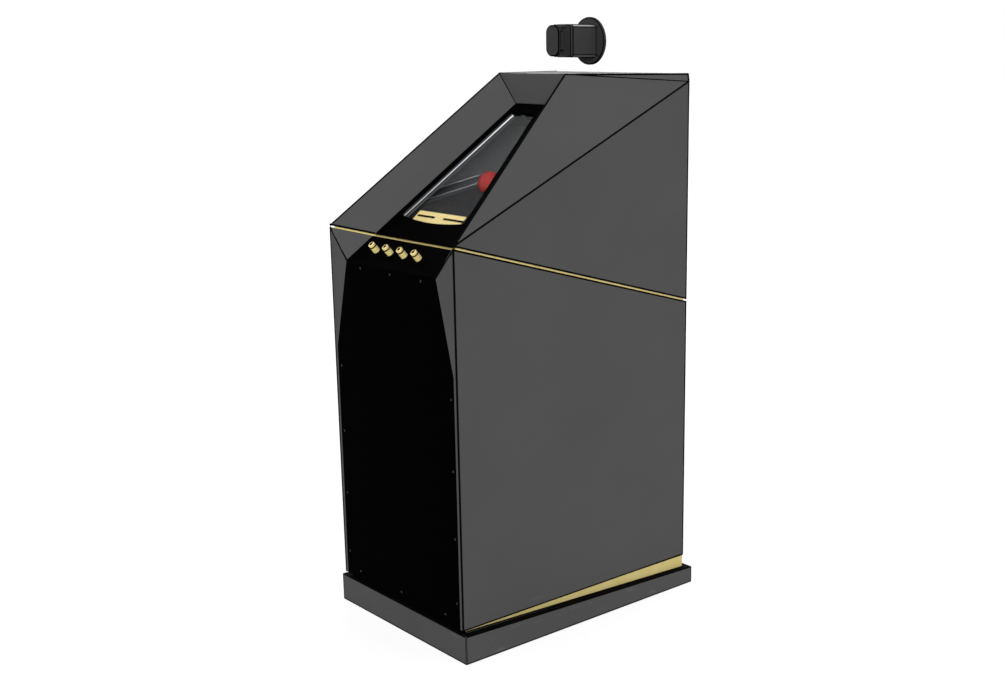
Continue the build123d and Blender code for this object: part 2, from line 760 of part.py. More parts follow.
HINGE_X = DOOR_HALF + 3
HINGE_Y = BACK + 4.4
HINGE_HEIGHTS = (300, 660)
KNUCKLE = 4
PIN = 2
LEAF = 2
LEAF_LENGTH = 60
END_KNUCKLE = 16
with BuildPart() as hinge_fixed_leaves:
    for z in HINGE_HEIGHTS:
        with BuildSketch(facing_back(HINGE_X + 16, BACK, z)):
            Rectangle(22, LEAF_LENGTH)
        extrude(amount=LEAF)
        for end in SIDES:
            start = z + end * (LEAF_LENGTH / 2 - END_KNUCKLE / 2) - END_KNUCKLE / 2
            with BuildSketch(Plane.XY.offset(start)):
                with Locations((HINGE_X, HINGE_Y)):
                    Circle(KNUCKLE)
                with Locations((HINGE_X + 4, BACK + LEAF / 2)):
                    Rectangle(6, LEAF)
            extrude(amount=END_KNUCKLE)
            with BuildSketch(Plane.XY.offset(start)):
                with Locations((HINGE_X, HINGE_Y)):
                    Circle(PIN)
            extrude(amount=END_KNUCKLE, mode=Mode.SUBTRACT)
save("hinge_fixed_leaves", hinge_fixed_leaves)

MID_KNUCKLE = LEAF_LENGTH - 2 * END_KNUCKLE - 2 * GAP
with BuildPart() as hinge_moving_leaves:
    for z in HINGE_HEIGHTS:
        with BuildSketch(facing_back(HINGE_X - 16, BACK, z)):
            Rectangle(22, LEAF_LENGTH)
        extrude(amount=LEAF)
        with BuildSketch(Plane.XY.offset(z - MID_KNUCKLE / 2)):
            with Locations((HINGE_X, HINGE_Y)):
                Circle(KNUCKLE)
            with Locations((HINGE_X - 4.4, BACK + LEAF / 2)):
                Rectangle(5.6, LEAF)
        extrude(amount=MID_KNUCKLE)
        with BuildSketch(Plane.XY.offset(z - MID_KNUCKLE / 2)):
            with Locations((HINGE_X, HINGE_Y)):
                Circle(PIN + RUN)
        extrude(amount=MID_KNUCKLE, mode=Mode.SUBTRACT)
save("hinge_moving_leaves", hinge_moving_leaves)

with BuildPart() as hinge_pins:
    for z in HINGE_HEIGHTS:
        with BuildSketch(Plane.XY.offset(z - LEAF_LENGTH / 2)):
            with Locations((HINGE_X, HINGE_Y)):
                Circle(PIN)
        extrude(amount=LEAF_LENGTH)
save("hinge_pins", hinge_pins)

LOCK_PLACE = facing_back(LOCK_X, BACK, LOCK_Z)
lock_barrel = turned(
    LOCK_PLACE,
    [
        (PLUG + RUN, 3),
        (12, 3),
        (12, 0),
        (BARREL, 0),
        (BARREL, -BOARD - 4),
        (PLUG + RUN, -BOARD - 4),
    ],
)
save("lock_barrel", lock_barrel)
plug = turned(LOCK_PLACE, [(0, 3), (PLUG, 3), (PLUG, -BOARD - 7), (0, -BOARD - 7)])
with BuildPart() as lock_plug:
    add(plug.part)
    with BuildSketch(LOCK_PLACE.offset(3)):
        Rectangle(1.6, 7)
    extrude(amount=-4, mode=Mode.SUBTRACT)
    with BuildSketch(LOCK_PLACE.offset(-BOARD - 4.5)):
        with Locations((0, 12)):
            SlotOverall(42, 16, rotation=90)
    extrude(amount=-2.5)
save("lock_plug", lock_plug)

# ---- Cooling fan behind the vent slots ----
FAN_HALF = 40
FAN_DEPTH = 25
FAN_BORE = 37.5
FAN_PLACE = facing_front(0, BACK - BOARD, VENT_HEIGHT)
STUB = 2
with BuildPart() as fan_frame:
    with BuildSketch(FAN_PLACE):
        RectangleRounded(2 * FAN_HALF, 2 * FAN_HALF, 4)
        Circle(FAN_BORE, mode=Mode.SUBTRACT)
    extrude(amount=FAN_DEPTH)
    with BuildSketch(FAN_PLACE.offset(FAN_DEPTH - 3)):
        Circle(15)
        with PolarLocations(26, 4, start_angle=45):
            Rectangle(26, 4)
    extrude(amount=3)
    with BuildSketch(FAN_PLACE.offset(4)):
        Circle(STUB)
    extrude(amount=FAN_DEPTH - 7)
save("fan_frame", fan_frame)

ROTOR_START = 3
ROTOR_DEPTH = 17
BLADES = 7
BLADE_TWIST = 28
with BuildPart() as fan_rotor:
    with BuildSketch(FAN_PLACE.offset(ROTOR_START)):
        Circle(16)
    extrude(amount=ROTOR_DEPTH)
    for blade in range(BLADES):
        root = Location((0, 0, ROTOR_START + 2), (0, 0, blade * 360 / BLADES))
        tip = Location((0, 0, ROTOR_DEPTH - 5), (0, 0, BLADE_TWIST))
        for turn in (root, root * tip):
            with BuildSketch(Plane(FAN_PLACE.location * turn)):
                with Locations((25, 0)):
                    Rectangle(20, 2)
        loft()
    with BuildSketch(FAN_PLACE.offset(ROTOR_START + 0.5)):
        Circle(STUB + RUN)
    extrude(amount=ROTOR_DEPTH, mode=Mode.SUBTRACT)
save("fan_rotor", fan_rotor)

# ---- Loudspeakers and their grilles ----
SPEAKER_OUTLINE = [
    (0, -30),
    (16, -24),
    (46, -6),
    (50, -2),
    (54, -5),
    (56, 0),
    (65, 0),
    (65, -4),
    (55, -8),
    (38, -38),
    (38, -62),
    (0, -62),
]
drivers = [
    turned(facing_back(x, BACK - BOARD, SPEAKER_Z), SPEAKER_OUTLINE).part
    for x in (-SPEAKER_X, SPEAKER_X)
]
with BuildPart() as speakers:
    add(drivers)
save("speakers", speakers)

GRILLE = 64
with BuildPart() as speaker_grilles:
    for x in (-SPEAKER_X, SPEAKER_X):
        with BuildSketch(facing_back(x, BACK, SPEAKER_Z)):
            Circle(GRILLE)
            with HexLocations(7, 7, 7):
                Circle(4, mode=Mode.SUBTRACT)
        extrude(amount=1.5)
save("speaker_grilles", speaker_grilles)

# ---- Electronics on a shelf, and the mains inlet ----
SHELF_TOP = 560
SHELF_FRONT = FRONT + 120
SHELF_BACK = BACK - 60
with BuildPart() as shelf_board:
    with BuildSketch(Plane.XY.offset(SHELF_TOP)):
        with Locations((0, (SHELF_FRONT + SHELF_BACK) / 2)):
            Rectangle(2 * (HALF - BOARD), SHELF_BACK - SHELF_FRONT)
    extrude(amount=-BOARD)
save("shelf_board", shelf_board)

AMPLIFIER_SPOT = (-120, 120)
AMPLIFIER_CASE = 44
FIN_HEIGHT = 22
with BuildPart() as amplifier:
    with BuildSketch(Plane.XY.offset(SHELF_TOP)):
        with Locations(AMPLIFIER_SPOT):
            Rectangle(220, 170)
    extrude(amount=AMPLIFIER_CASE)
    with BuildSketch(Plane.XY.offset(SHELF_TOP + AMPLIFIER_CASE)):
        with Locations(AMPLIFIER_SPOT):
            with GridLocations(20, 0, 11, 1):
                Rectangle(4, 160)
    extrude(amount=FIN_HEIGHT)
save("amplifier", amplifier)

SUPPLY_SPOT = (130, 120)
SUPPLY_HEIGHT = 42
with BuildPart() as power_supply:
    with BuildSketch(Plane.XY.offset(SHELF_TOP)):
        with Locations(SUPPLY_SPOT):
            Rectangle(100, 160)
    extrude(amount=SUPPLY_HEIGHT)
    with BuildSketch(Plane.XY.offset(SHELF_TOP + SUPPLY_HEIGHT)):
        with Locations(SUPPLY_SPOT):
            with GridLocations(0, 16, 1, 8):
                SlotOverall(70, 5)
    extrude(amount=-1.5, mode=Mode.SUBTRACT)
save("power_supply", power_supply)

STANDOFF = 8
LAMINATE = 1.6
CONTROLLER_Y = -120
with BuildPart() as controller_board:
    with BuildSketch(Plane.XY.offset(SHELF_TOP + STANDOFF)):
        with Locations((0, CONTROLLER_Y)):
            RectangleRounded(160, 100, 3)
    extrude(amount=LAMINATE)
    with BuildSketch(Plane.XY.offset(SHELF_TOP)):
        with Locations((0, CONTROLLER_Y)):
            with GridLocations(148, 88, 2, 2):
                Circle(3)
    extrude(amount=STANDOFF)
    with BuildSketch(Plane.XY.offset(SHELF_TOP + STANDOFF + LAMINATE)):
        with Locations((-20, CONTROLLER_Y)):
            Rectangle(24, 24)
        with Locations((30, CONTROLLER_Y)):
            with GridLocations(0, 30, 1, 2):
                Rectangle(18, 10)
        with Locations((-60, CONTROLLER_Y)):
            with GridLocations(0, 25, 1, 3):
                Rectangle(14, 12)
    extrude(amount=4)
save("controller_board", controller_board)

FLANGE = 3
SWITCH_SHIFT = 15
INLET_PLACE = facing_back(INLET[0], BACK, INLET[1])
with BuildPart() as inlet_module:
    with BuildSketch(INLET_PLACE):
        RectangleRounded(66, 44, 4)
    extrude(amount=FLANGE)
    with BuildSketch(INLET_PLACE):
        Rectangle(INLET_SIZE[0] - 1, INLET_SIZE[1] - 1)
    extrude(amount=-34)
    with BuildSketch(INLET_PLACE.offset(FLANGE)):
        with Locations((-10, 0)):
            Rectangle(24, 17)
    extrude(amount=-20, mode=Mode.SUBTRACT)
    with BuildSketch(INLET_PLACE.offset(FLANGE - 20)):
        with Locations((-16, 0), (-10, 2), (-4, 0)):
            Rectangle(2, 5)
    extrude(amount=13)
    with BuildSketch(INLET_PLACE.offset(FLANGE)):
        with Locations((SWITCH_SHIFT, 0)):
            Rectangle(14, 24)
    extrude(amount=-12, mode=Mode.SUBTRACT)
save("inlet_module", inlet_module)

ROCKER_WIDTH = 12
with BuildPart() as rocker_switch:
    with BuildSketch(Plane.YZ.offset(INLET[0] - SWITCH_SHIFT - ROCKER_WIDTH / 2)):
        with BuildLine():
            Polyline(
                (BACK + FLANGE + 2.6, INLET[1] - 10.2),
                (BACK + FLANGE + 1.2, INLET[1]),
                (BACK + FLANGE + 2.6, INLET[1] + 10.2),
                (BACK + FLANGE - 3, INLET[1] + 10.6),
                (BACK + FLANGE - 8, INLET[1] + 3),
                (BACK + FLANGE - 8, INLET[1] - 3),
                (BACK + FLANGE - 3, INLET[1] - 10.6),
                close=True,
            )
        make_face()
    extrude(amount=ROCKER_WIDTH)
save("rocker_switch", rocker_switch)

# ---- Post, rose, swivel box and sensor head above the roof ----
UNIT_HEIGHT = 1588
ROSE_Y = FRONT + 697
ROSE_RADIUS = 66
ROSE_SHEET = 8
POST_RADIUS = 8
BOX_LENGTH = 86
BOX_HALF_HEIGHT = 44
BOX_HALF_WIDTH = 33
BOX_EDGE = 6            # chamfer along the box's long edges
POST_Y = ROSE_Y + ROSE_SHEET + POST_RADIUS
POST_FLANGE = 4
POST_TOP = UNIT_HEIGHT + 40
with BuildPart() as mast_post:
    with BuildSketch(Plane.XY.offset(HEIGHT)):
        with Locations((0, POST_Y)):
            Circle(20)
    extrude(amount=POST_FLANGE)
    with BuildSketch(Plane.XY.offset(HEIGHT + POST_FLANGE)):
        with Locations((0, POST_Y)):
            Circle(POST_RADIUS)
    extrude(amount=POST_TOP - HEIGHT - POST_FLANGE)
save("mast_post", mast_post)

ROSE_PLACE = facing_front(0, ROSE_Y, UNIT_HEIGHT)
STEM = 9
mast_rose = turned(
    ROSE_PLACE,
    [
        (0, -ROSE_SHEET),
        (ROSE_RADIUS, -ROSE_SHEET),
        (ROSE_RADIUS, -1.5),
        (ROSE_RADIUS - 1.5, 0),
        (STEM, 0),
        (STEM, 22),
        (0, 22),
    ],
)
save("mast_rose", mast_rose)

YOKE = 15               # from the collar to the pivot
YOKE_SHEET = 7
YOKE_HALF_HEIGHT = 44
YOKE_HALF_WIDTH = 14
PIVOT = 4
COLLAR = 9
COLLAR_HALF_WIDTH = 31
PIVOT_OUT = GAP + BOX_LENGTH + COLLAR + YOKE
PIVOT_Y = ROSE_Y - PIVOT_OUT
with BuildPart() as swivel_box:
    with BuildSketch(ROSE_PLACE.offset(GAP)):
        Rectangle(2 * BOX_HALF_WIDTH, 2 * BOX_HALF_HEIGHT)
    extrude(amount=BOX_LENGTH)
    chamfer(swivel_box.edges().filter_by(Axis.Y), BOX_EDGE)
    with BuildSketch(ROSE_PLACE.offset(GAP + BOX_LENGTH)):
        RectangleRounded(2 * COLLAR_HALF_WIDTH, 2 * YOKE_HALF_HEIGHT, 8)
    extrude(amount=COLLAR)
    for start in (-YOKE_HALF_HEIGHT, YOKE_HALF_HEIGHT - YOKE_SHEET):
        with BuildSketch(Plane.XY.offset(UNIT_HEIGHT + start)):
            with Locations((0, PIVOT_Y)):
                Circle(YOKE_HALF_WIDTH)
            with Locations((0, PIVOT_Y + YOKE / 2)):
                Rectangle(2 * YOKE_HALF_WIDTH, YOKE)
        extrude(amount=YOKE_SHEET)
    with BuildSketch(ROSE_PLACE.offset(GAP)):
        Circle(STEM + RUN)
    extrude(amount=24, mode=Mode.SUBTRACT)
    with BuildSketch(Plane.XY.offset(UNIT_HEIGHT - YOKE_HALF_HEIGHT)):
        with Locations((0, PIVOT_Y)):
            Circle(PIVOT)
    extrude(amount=2 * YOKE_HALF_HEIGHT)
save("swivel_box", swivel_box)

NECK_HALF = 11
NECK_HALF_HEIGHT = 26
NECK_TAIL = 6           # behind the pivot
BOSS_RADIUS = 9
BOSS_HALF_HEIGHT = YOKE_HALF_HEIGHT - YOKE_SHEET - GAP
HEAD_SHEET = 6
HEAD_HALF_WIDTH = 27
HEAD_HALF_HEIGHT = 41.5
HEAD_START = PIVOT_OUT + 16.6
with BuildPart() as sensor_head:
    with BuildSketch(ROSE_PLACE.offset(HEAD_START)):
        RectangleRounded(2 * HEAD_HALF_WIDTH, 2 * HEAD_HALF_HEIGHT, 21)
    extrude(amount=HEAD_SHEET)
    with BuildSketch(ROSE_PLACE.offset(PIVOT_OUT - NECK_TAIL)):
        Rectangle(2 * NECK_HALF, 2 * NECK_HALF_HEIGHT)
    extrude(amount=HEAD_START - PIVOT_OUT + NECK_TAIL)
    with BuildSketch(Plane.XY.offset(UNIT_HEIGHT - BOSS_HALF_HEIGHT)):
        with Locations((0, PIVOT_Y)):
            Circle(BOSS_RADIUS)
    extrude(amount=2 * BOSS_HALF_HEIGHT)
    with BuildSketch(Plane.XY.offset(UNIT_HEIGHT - BOSS_HALF_HEIGHT)):
        with Locations((0, PIVOT_Y)):
            Circle(PIVOT + RUN)
    extrude(amount=2 * BOSS_HALF_HEIGHT, mode=Mode.SUBTRACT)
save("sensor_head", sensor_head)

with BuildPart() as sensor_window:
    with BuildSketch(ROSE_PLACE.offset(HEAD_START + HEAD_SHEET)):
        RectangleRounded(2 * HEAD_HALF_WIDTH - 6, 2 * HEAD_HALF_HEIGHT - 6, 18)
    extrude(amount=2)
save("sensor_window", sensor_window)
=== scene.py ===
from math import atan2, cos, pi, radians, sin

import bmesh
import bpy
from mathutils import Matrix, Vector


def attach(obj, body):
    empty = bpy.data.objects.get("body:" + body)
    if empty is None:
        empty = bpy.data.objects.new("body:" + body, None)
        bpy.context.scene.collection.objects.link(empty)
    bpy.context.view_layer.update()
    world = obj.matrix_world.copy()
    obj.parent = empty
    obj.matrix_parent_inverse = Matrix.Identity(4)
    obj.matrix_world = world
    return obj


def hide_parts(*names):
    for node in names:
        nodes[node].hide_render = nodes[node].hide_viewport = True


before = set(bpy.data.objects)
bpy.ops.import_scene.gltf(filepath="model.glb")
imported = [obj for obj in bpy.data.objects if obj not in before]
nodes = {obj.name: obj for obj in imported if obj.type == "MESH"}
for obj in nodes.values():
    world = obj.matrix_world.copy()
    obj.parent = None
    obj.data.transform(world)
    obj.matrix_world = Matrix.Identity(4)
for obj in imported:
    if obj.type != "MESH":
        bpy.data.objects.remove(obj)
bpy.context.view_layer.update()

# ---- Grey boards of the cabinet and hood ----
# 12 mm birch plywood, mitred at the folds and sprayed with a satin grey two-pack lacquer.
# It gives an even grey with a faint orange peel, and is scuffed a little lighter near the floor.
BOARD_GREY = "545454"
BOARD_GREY_WORN = "4d4d4d"
BOARD_SCUFF = "646362"
PEEL_SIZE = 0.004          # grain of the orange peel, drawn coarser than the real 2 mm to show
MOTTLE_SIZE = 0.22
SCUFF_TOP = 0.16           # scuffs fade out at this height


def linear(hexcode):
    """A linear RGBA colour from an sRGB hex value."""
    channels = [int(hexcode[i:i + 2], 16) / 255 for i in (0, 2, 4)]
    return [c / 12.92 if c <= 0.04045 else ((c + 0.055) / 1.055) ** 2.4 for c in channels] + [1]


def add(material, kind, settings, links=()):
    """A node in a material, with its values and its incoming links."""
    node = material.node_tree.nodes.new(kind)
    for name, value in settings.items():
        if isinstance(name, str) and hasattr(node, name):
            setattr(node, name, value)
        else:
            node.inputs[name].default_value = value
    for name, socket in links:
        material.node_tree.links.new(socket, node.inputs[name])
    return node


def new_material(name):
    """An empty node material."""
    material = bpy.data.materials.new(name)
    material.use_nodes = True
    material.node_tree.nodes.clear()
    return material


def finish_as(material, *names):
    """Gives CAD nodes a material."""
    for name in names:
        mesh = nodes[name].data
        mesh.materials.clear()
        mesh.materials.append(material)


grey_lacquer = new_material("satin_grey_lacquer_on_birch_ply")
place = add(grey_lacquer, "ShaderNodeTexCoord", {})
mottle = add(grey_lacquer, "ShaderNodeTexNoise", {"Scale": 1 / MOTTLE_SIZE, "Detail": 4.0},
             [("Vector", place.outputs["Object"])])
tone = add(grey_lacquer, "ShaderNodeMix",
           {"data_type": "RGBA", 6: linear(BOARD_GREY), 7: linear(BOARD_GREY_WORN)},
           [(0, mottle.outputs["Fac"])])
height = add(grey_lacquer, "ShaderNodeSeparateXYZ", {}, [("Vector", place.outputs["Object"])])
near_floor = add(grey_lacquer, "ShaderNodeMapRange",
                 {"From Min": SCUFF_TOP, "From Max": 0.0, "To Min": 0.0, "To Max": 1.0},
                 [("Value", height.outputs["Z"])])
stretch = add(grey_lacquer, "ShaderNodeMapping", {"Scale": (9.0, 9.0, 70.0)},
              [("Vector", place.outputs["Object"])])
scrapes = add(grey_lacquer, "ShaderNodeTexNoise", {"Scale": 1.6, "Detail": 5.0},
              [("Vector", stretch.outputs["Vector"])])
scrape_lines = add(grey_lacquer, "ShaderNodeMapRange", {"From Min": 0.62, "From Max": 0.72},
                   [("Value", scrapes.outputs["Fac"])])
scuffed = add(grey_lacquer, "ShaderNodeMath", {"operation": "MULTIPLY"},
              [(0, near_floor.outputs["Result"]), (1, scrape_lines.outputs["Result"])])
worn = add(grey_lacquer, "ShaderNodeMix", {"data_type": "RGBA", 7: linear(BOARD_SCUFF)},
           [(0, scuffed.outputs["Value"]), (6, tone.outputs[2])])
sheen = add(grey_lacquer, "ShaderNodeMapRange", {"To Min": 0.46, "To Max": 0.62},
            [("Value", mottle.outputs["Fac"])])
peel = add(grey_lacquer, "ShaderNodeTexNoise", {"Scale": 1 / PEEL_SIZE, "Detail": 2.0},
           [("Vector", place.outputs["Object"])])
relief = add(grey_lacquer, "ShaderNodeBump", {"Strength": 0.25, "Distance": 0.0003},
             [("Height", peel.outputs["Fac"])])
shader = add(grey_lacquer, "ShaderNodeBsdfPrincipled", {"IOR": 1.45, "Specular IOR Level": 0.1},
             [("Base Color", worn.outputs[2]), ("Roughness", sheen.outputs["Result"]),
              ("Normal", relief.outputs["Normal"])])
add(grey_lacquer, "ShaderNodeOutputMaterial", {}, [("Surface", shader.outputs["BSDF"])])
finish_as(
    grey_lacquer, "plinth", "side_board_left", "side_board_right", "bottom_board", "back_frame",
    "front_gussets", "lower_bevels", "hood_side_left", "hood_side_right", "hood_facet_left",
    "hood_facet_right", "hood_bevel_left", "hood_bevel_right", "roof_board", "head_board",
    "hood_back_board", "service_door",
)

# ---- Black beads along the board corners ----
# Soft black PVC cord, pressed into the groove along every corner and fold of the boards.
# It seals the mitres and draws the fine black line that outlines each board.
BEAD = 0.0027              # radius of the cord
BEAD_SUNK = 0.6            # share of its radius that its middle is sunk into a corner
BEAD_LIFT = 0.0024         # from the seam's edge to the middle of the cord beside it
HALF = 0.284               # half the cabinet's width
FRONT_Y = -0.418
BACK_Y = 0.398
FOOT_Z = 0.0905
SEAM_FRONT = 1.0975        # top edge of the seam at the front, and at the back
SEAM_BACK = 0.8675
STRIP = 0.0055             # height of the seam
ROOF_Z = 1.5
ROOF_FRONT_Y = 0.067
ROOF_FRONT_HALF = 0.142
ROOF_BACK_HALF = 0.281
HOOD_BACK_Z = 1.479        # where a facet meets the hood's back corner
DECK_FOOT_Z = 1.010        # the sunken sloping deck, at the front and at its head
DECK_FOOT_HALF = 0.206
DECK_HEAD_Z = 1.418
DECK_HEAD_HALF = 0.069
RECESS = (0.184, -0.3401, 1.0755)       # where the seam's edge runs into the deck
FACET_OUT = (0.75, -0.28, 0.60)         # square to the right-hand facet
BEVEL_OUT = (-0.568, -0.621, 0.540)     # square to the right-hand bevel
BLACK_PVC = "040404"
BLACK_PVC_DUSTY = "0b0b0b"

black_pvc = new_material("extruded_black_pvc")
place = add(black_pvc, "ShaderNodeTexCoord", {})
dust = add(black_pvc, "ShaderNodeTexNoise", {"Scale": 60.0, "Detail": 3.0},
           [("Vector", place.outputs["Object"])])
tone = add(black_pvc, "ShaderNodeMix",
           {"data_type": "RGBA", 6: linear(BLACK_PVC), 7: linear(BLACK_PVC_DUSTY)},
           [(0, dust.outputs["Fac"])])
shader = add(black_pvc, "ShaderNodeBsdfPrincipled",
             {"IOR": 1.5, "Specular IOR Level": 0.01, "Roughness": 0.7},
             [("Base Color", tone.outputs[2])])
add(black_pvc, "ShaderNodeOutputMaterial", {}, [("Surface", shader.outputs["BSDF"])])


def piece(name, shape, material, body):
    """A finished mesh piece that rides on a body."""
    mesh = bpy.data.meshes.new(name)
    bmesh.ops.recalc_face_normals(shape, faces=shape.faces[:])
    shape.to_mesh(mesh)
    shape.free()
    mesh.materials.append(material)
    made = bpy.data.objects.new(name, mesh)
    bpy.context.collection.objects.link(made)
    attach(made, body)
    return made


def cord_between(shape, start, end, radius, sides=8):
    """A straight round cord between two points."""
    start, end = Vector(start), Vector(end)
    run = end - start
    spot = Matrix.Translation((start + end) / 2) @ run.to_track_quat("Z", "Y").to_matrix().to_4x4()
    bmesh.ops.create_cone(shape, cap_ends=True, segments=sides, radius1=radius, radius2=radius,
                          depth=run.length, matrix=spot)


beads = bmesh.new()
for side in (-1, 1):
    seam = Vector((side * HALF, FRONT_Y, SEAM_FRONT))
    under_seam = Vector((side * HALF, FRONT_Y, SEAM_FRONT - STRIP))
    roof = Vector((side * ROOF_FRONT_HALF, ROOF_FRONT_Y, ROOF_Z))
    low_back = Vector((side * HALF, BACK_Y, HOOD_BACK_Z))
    high_back = Vector((side * ROOF_BACK_HALF, BACK_Y, ROOF_Z))
    seam_back = Vector((side * HALF, BACK_Y, SEAM_BACK))
    under_back = Vector((side * HALF, BACK_Y, SEAM_BACK - STRIP))
    foot = Vector((side * HALF, FRONT_Y, FOOT_Z))
    foot_back = Vector((side * HALF, BACK_Y, FOOT_Z))
    shoulder = Vector((side * DECK_FOOT_HALF, FRONT_Y, DECK_FOOT_Z))
    deck_head = Vector((side * DECK_HEAD_HALF, ROOF_FRONT_Y, DECK_HEAD_Z))
    facet_out = Vector((side * FACET_OUT[0], *FACET_OUT[1:]))
    bevel_out = Vector((side * BEVEL_OUT[0], *BEVEL_OUT[1:]))
    side_out = Vector((side, 0, 0))
    back_out = Vector((0, 1, 0))
    front_out = Vector((0, -1, 0))
    roof_out = Vector((0, 0, 1))
    lift = Vector((0, 0, BEAD_LIFT))
    strip = Vector((0, 0, STRIP))
    recess = Vector((side * RECESS[0], *RECESS[1:]))
    for start, end, first, second in (
        (seam, roof, facet_out, bevel_out),
        (seam, low_back, facet_out, side_out),
        (roof, low_back, facet_out, facet_out),
        (roof, high_back, roof_out, facet_out),
        (low_back, high_back, back_out, facet_out),
        (low_back, seam_back, side_out, back_out),
        (under_seam, foot, side_out, front_out),
        (under_back, foot_back, side_out, back_out),
        (seam + lift, seam_back + lift, side_out, side_out),
        (under_seam - lift, under_back - lift, side_out, side_out),
        (foot, foot_back, side_out, side_out),
        (under_seam, shoulder, front_out, bevel_out),
        (roof, deck_head, bevel_out, front_out),
        (seam + lift, recess + lift, front_out, bevel_out),
        (under_seam - lift, recess - strip - lift, front_out, bevel_out),
    ):
        inward = (first.normalized() + second.normalized()).normalized() * -BEAD * BEAD_SUNK
        cord_between(beads, start + inward, end + inward, BEAD)
for reach, y in ((ROOF_FRONT_HALF, ROOF_FRONT_Y + BEAD), (ROOF_BACK_HALF, BACK_Y - BEAD)):
    cord_between(beads, (-reach, y, ROOF_Z - BEAD), (reach, y, ROOF_Z - BEAD), BEAD)
piece("corner_beads", beads, black_pvc, "cabinet")

# ---- Black beads round the plinth ----
# The same black cord along the plinth's corners, its sloping top edges and its foot. A thinner
# one round the foot and the head of the brass riser is a painted shadow, where the riser meets the
# plinth and the cabinet.
PLINTH_HALF = 0.299
PLINTH_FRONT_Y = -0.421
PLINTH_BACK_Y = 0.421
PLINTH_TOP_FRONT = 0.079
PLINTH_TOP_BACK = 0.049
INSET = 0.0022             # from the plinth's faces to the middle of the cord
RISER_SHADOW_CORD = 0.0018        # radius of the thinner cord, drawn as a painted shadow line
RISER_FRONT_HALF = 0.2722
RISER_FRONT_Y = -0.4024
RISER_BACK_HALF = 0.2832
RISER_BACK_Y = 0.3964
RISER_SHADOW_LOOPS = ((0.0795, 0.0505), (0.0885, 0.0885))  # each loop's height at the front and back
plinth_beads = bmesh.new()
for side in (-1, 1):
    x = side * (PLINTH_HALF - INSET)
    front_top = Vector((x, PLINTH_FRONT_Y + INSET, PLINTH_TOP_FRONT - INSET))
    back_top = Vector((x, PLINTH_BACK_Y - INSET, PLINTH_TOP_BACK - INSET))
    front_low = Vector((x, PLINTH_FRONT_Y + INSET, BEAD))
    back_low = Vector((x, PLINTH_BACK_Y - INSET, BEAD))
    for start, end in ((front_top, back_top), (front_low, back_low), (front_top, front_low),
                       (back_top, back_low)):
        cord_between(plinth_beads, start, end, BEAD)
for y, top in ((PLINTH_FRONT_Y + INSET, PLINTH_TOP_FRONT),
               (PLINTH_BACK_Y - INSET, PLINTH_TOP_BACK)):
    for z in (top - INSET, BEAD):
        cord_between(plinth_beads, (INSET - PLINTH_HALF, y, z), (PLINTH_HALF - INSET, y, z), BEAD)
# The thin loops at the riser's foot and head are painted contact shadow.
for z_front, z_back in RISER_SHADOW_LOOPS:
    corners = [Vector((-RISER_FRONT_HALF, RISER_FRONT_Y, z_front)),
               Vector((RISER_FRONT_HALF, RISER_FRONT_Y, z_front)),
               Vector((RISER_BACK_HALF, RISER_BACK_Y, z_back)),
               Vector((-RISER_BACK_HALF, RISER_BACK_Y, z_back))]
    for start, end in zip(corners, corners[1:] + corners[:1]):
        cord_between(plinth_beads, start, end, RISER_SHADOW_CORD)
piece("plinth_beads", plinth_beads, black_pvc, "cabinet")

# ---- Dark sealing strip on the plinth's top ----
# Flat black rubber strip laid on the plinth round the riser, where the cabinet meets it.
# One length lies along each side, and one across the front and the back.
SEAL_WIDTH = 0.017
SEAL_THICK = 0.001
SEAL_FRONT = (0.286, -0.4165, 0.0789)   # ends of the right-hand length's middle line
SEAL_BACK = (0.2905, 0.4165, 0.0493)
SEAL_ACROSS = 0.56
SEAL_SLOPE = -0.0356
SEAL_ENDS = ((-0.4115, 0.0787), (0.4080, 0.0496))   # y and z of the lengths across
sealing = bmesh.new()
for side in (-1, 1):
    front = Vector((side * SEAL_FRONT[0], *SEAL_FRONT[1:]))
    back = Vector((side * SEAL_BACK[0], *SEAL_BACK[1:]))
    run = back - front
    spot = Matrix.Translation((front + back) / 2) @ Matrix.Rotation(atan2(run.z, run.y), 4, "X")
    size = Matrix.Diagonal((SEAL_WIDTH, run.length, SEAL_THICK, 1))
    bmesh.ops.create_cube(sealing, size=1, matrix=spot @ size)
for y, z in SEAL_ENDS:
    spot = Matrix.Translation((0, y, z)) @ Matrix.Rotation(SEAL_SLOPE, 4, "X")
    size = Matrix.Diagonal((SEAL_ACROSS, SEAL_WIDTH, SEAL_THICK, 1))
    bmesh.ops.create_cube(sealing, size=1, matrix=spot @ size)
piece("plinth_sealing_strip", sealing, black_pvc, "cabinet")

# ---- Black front panel, control panel and window bezel ----
# 6 mm and 4 mm high-pressure laminate with a satin black face. It swallows nearly all light,
# with a faint cloudiness from wiping that shows only in its reflections.
LAMINATE_BLACK = "000000"
LAMINATE_WIPED = "020203"
black_laminate = new_material("satin_black_laminate")
place = add(black_laminate, "ShaderNodeTexCoord", {})
wipe_space = add(black_laminate, "ShaderNodeMapping",
                 {"Scale": (5.0, 5.0, 14.0), "Rotation": (0.0, radians(35), 0.0)},
                 [("Vector", place.outputs["Object"])])
wiping = add(black_laminate, "ShaderNodeTexNoise", {"Scale": 2.0, "Detail": 5.0},
             [("Vector", wipe_space.outputs["Vector"])])
tone = add(black_laminate, "ShaderNodeMix",
           {"data_type": "RGBA", 6: linear(LAMINATE_BLACK), 7: linear(LAMINATE_WIPED)},
           [(0, wiping.outputs["Fac"])])
sheen = add(black_laminate, "ShaderNodeMapRange", {"To Min": 0.32, "To Max": 0.55},
            [("Value", wiping.outputs["Fac"])])
shader = add(black_laminate, "ShaderNodeBsdfPrincipled", {"IOR": 1.5, "Specular IOR Level": 0.003},
             [("Base Color", tone.outputs[2]), ("Roughness", sheen.outputs["Result"])])
add(black_laminate, "ShaderNodeOutputMaterial", {}, [("Surface", shader.outputs["BSDF"])])
finish_as(black_laminate, "front_panel", "control_panel", "window_bezel")

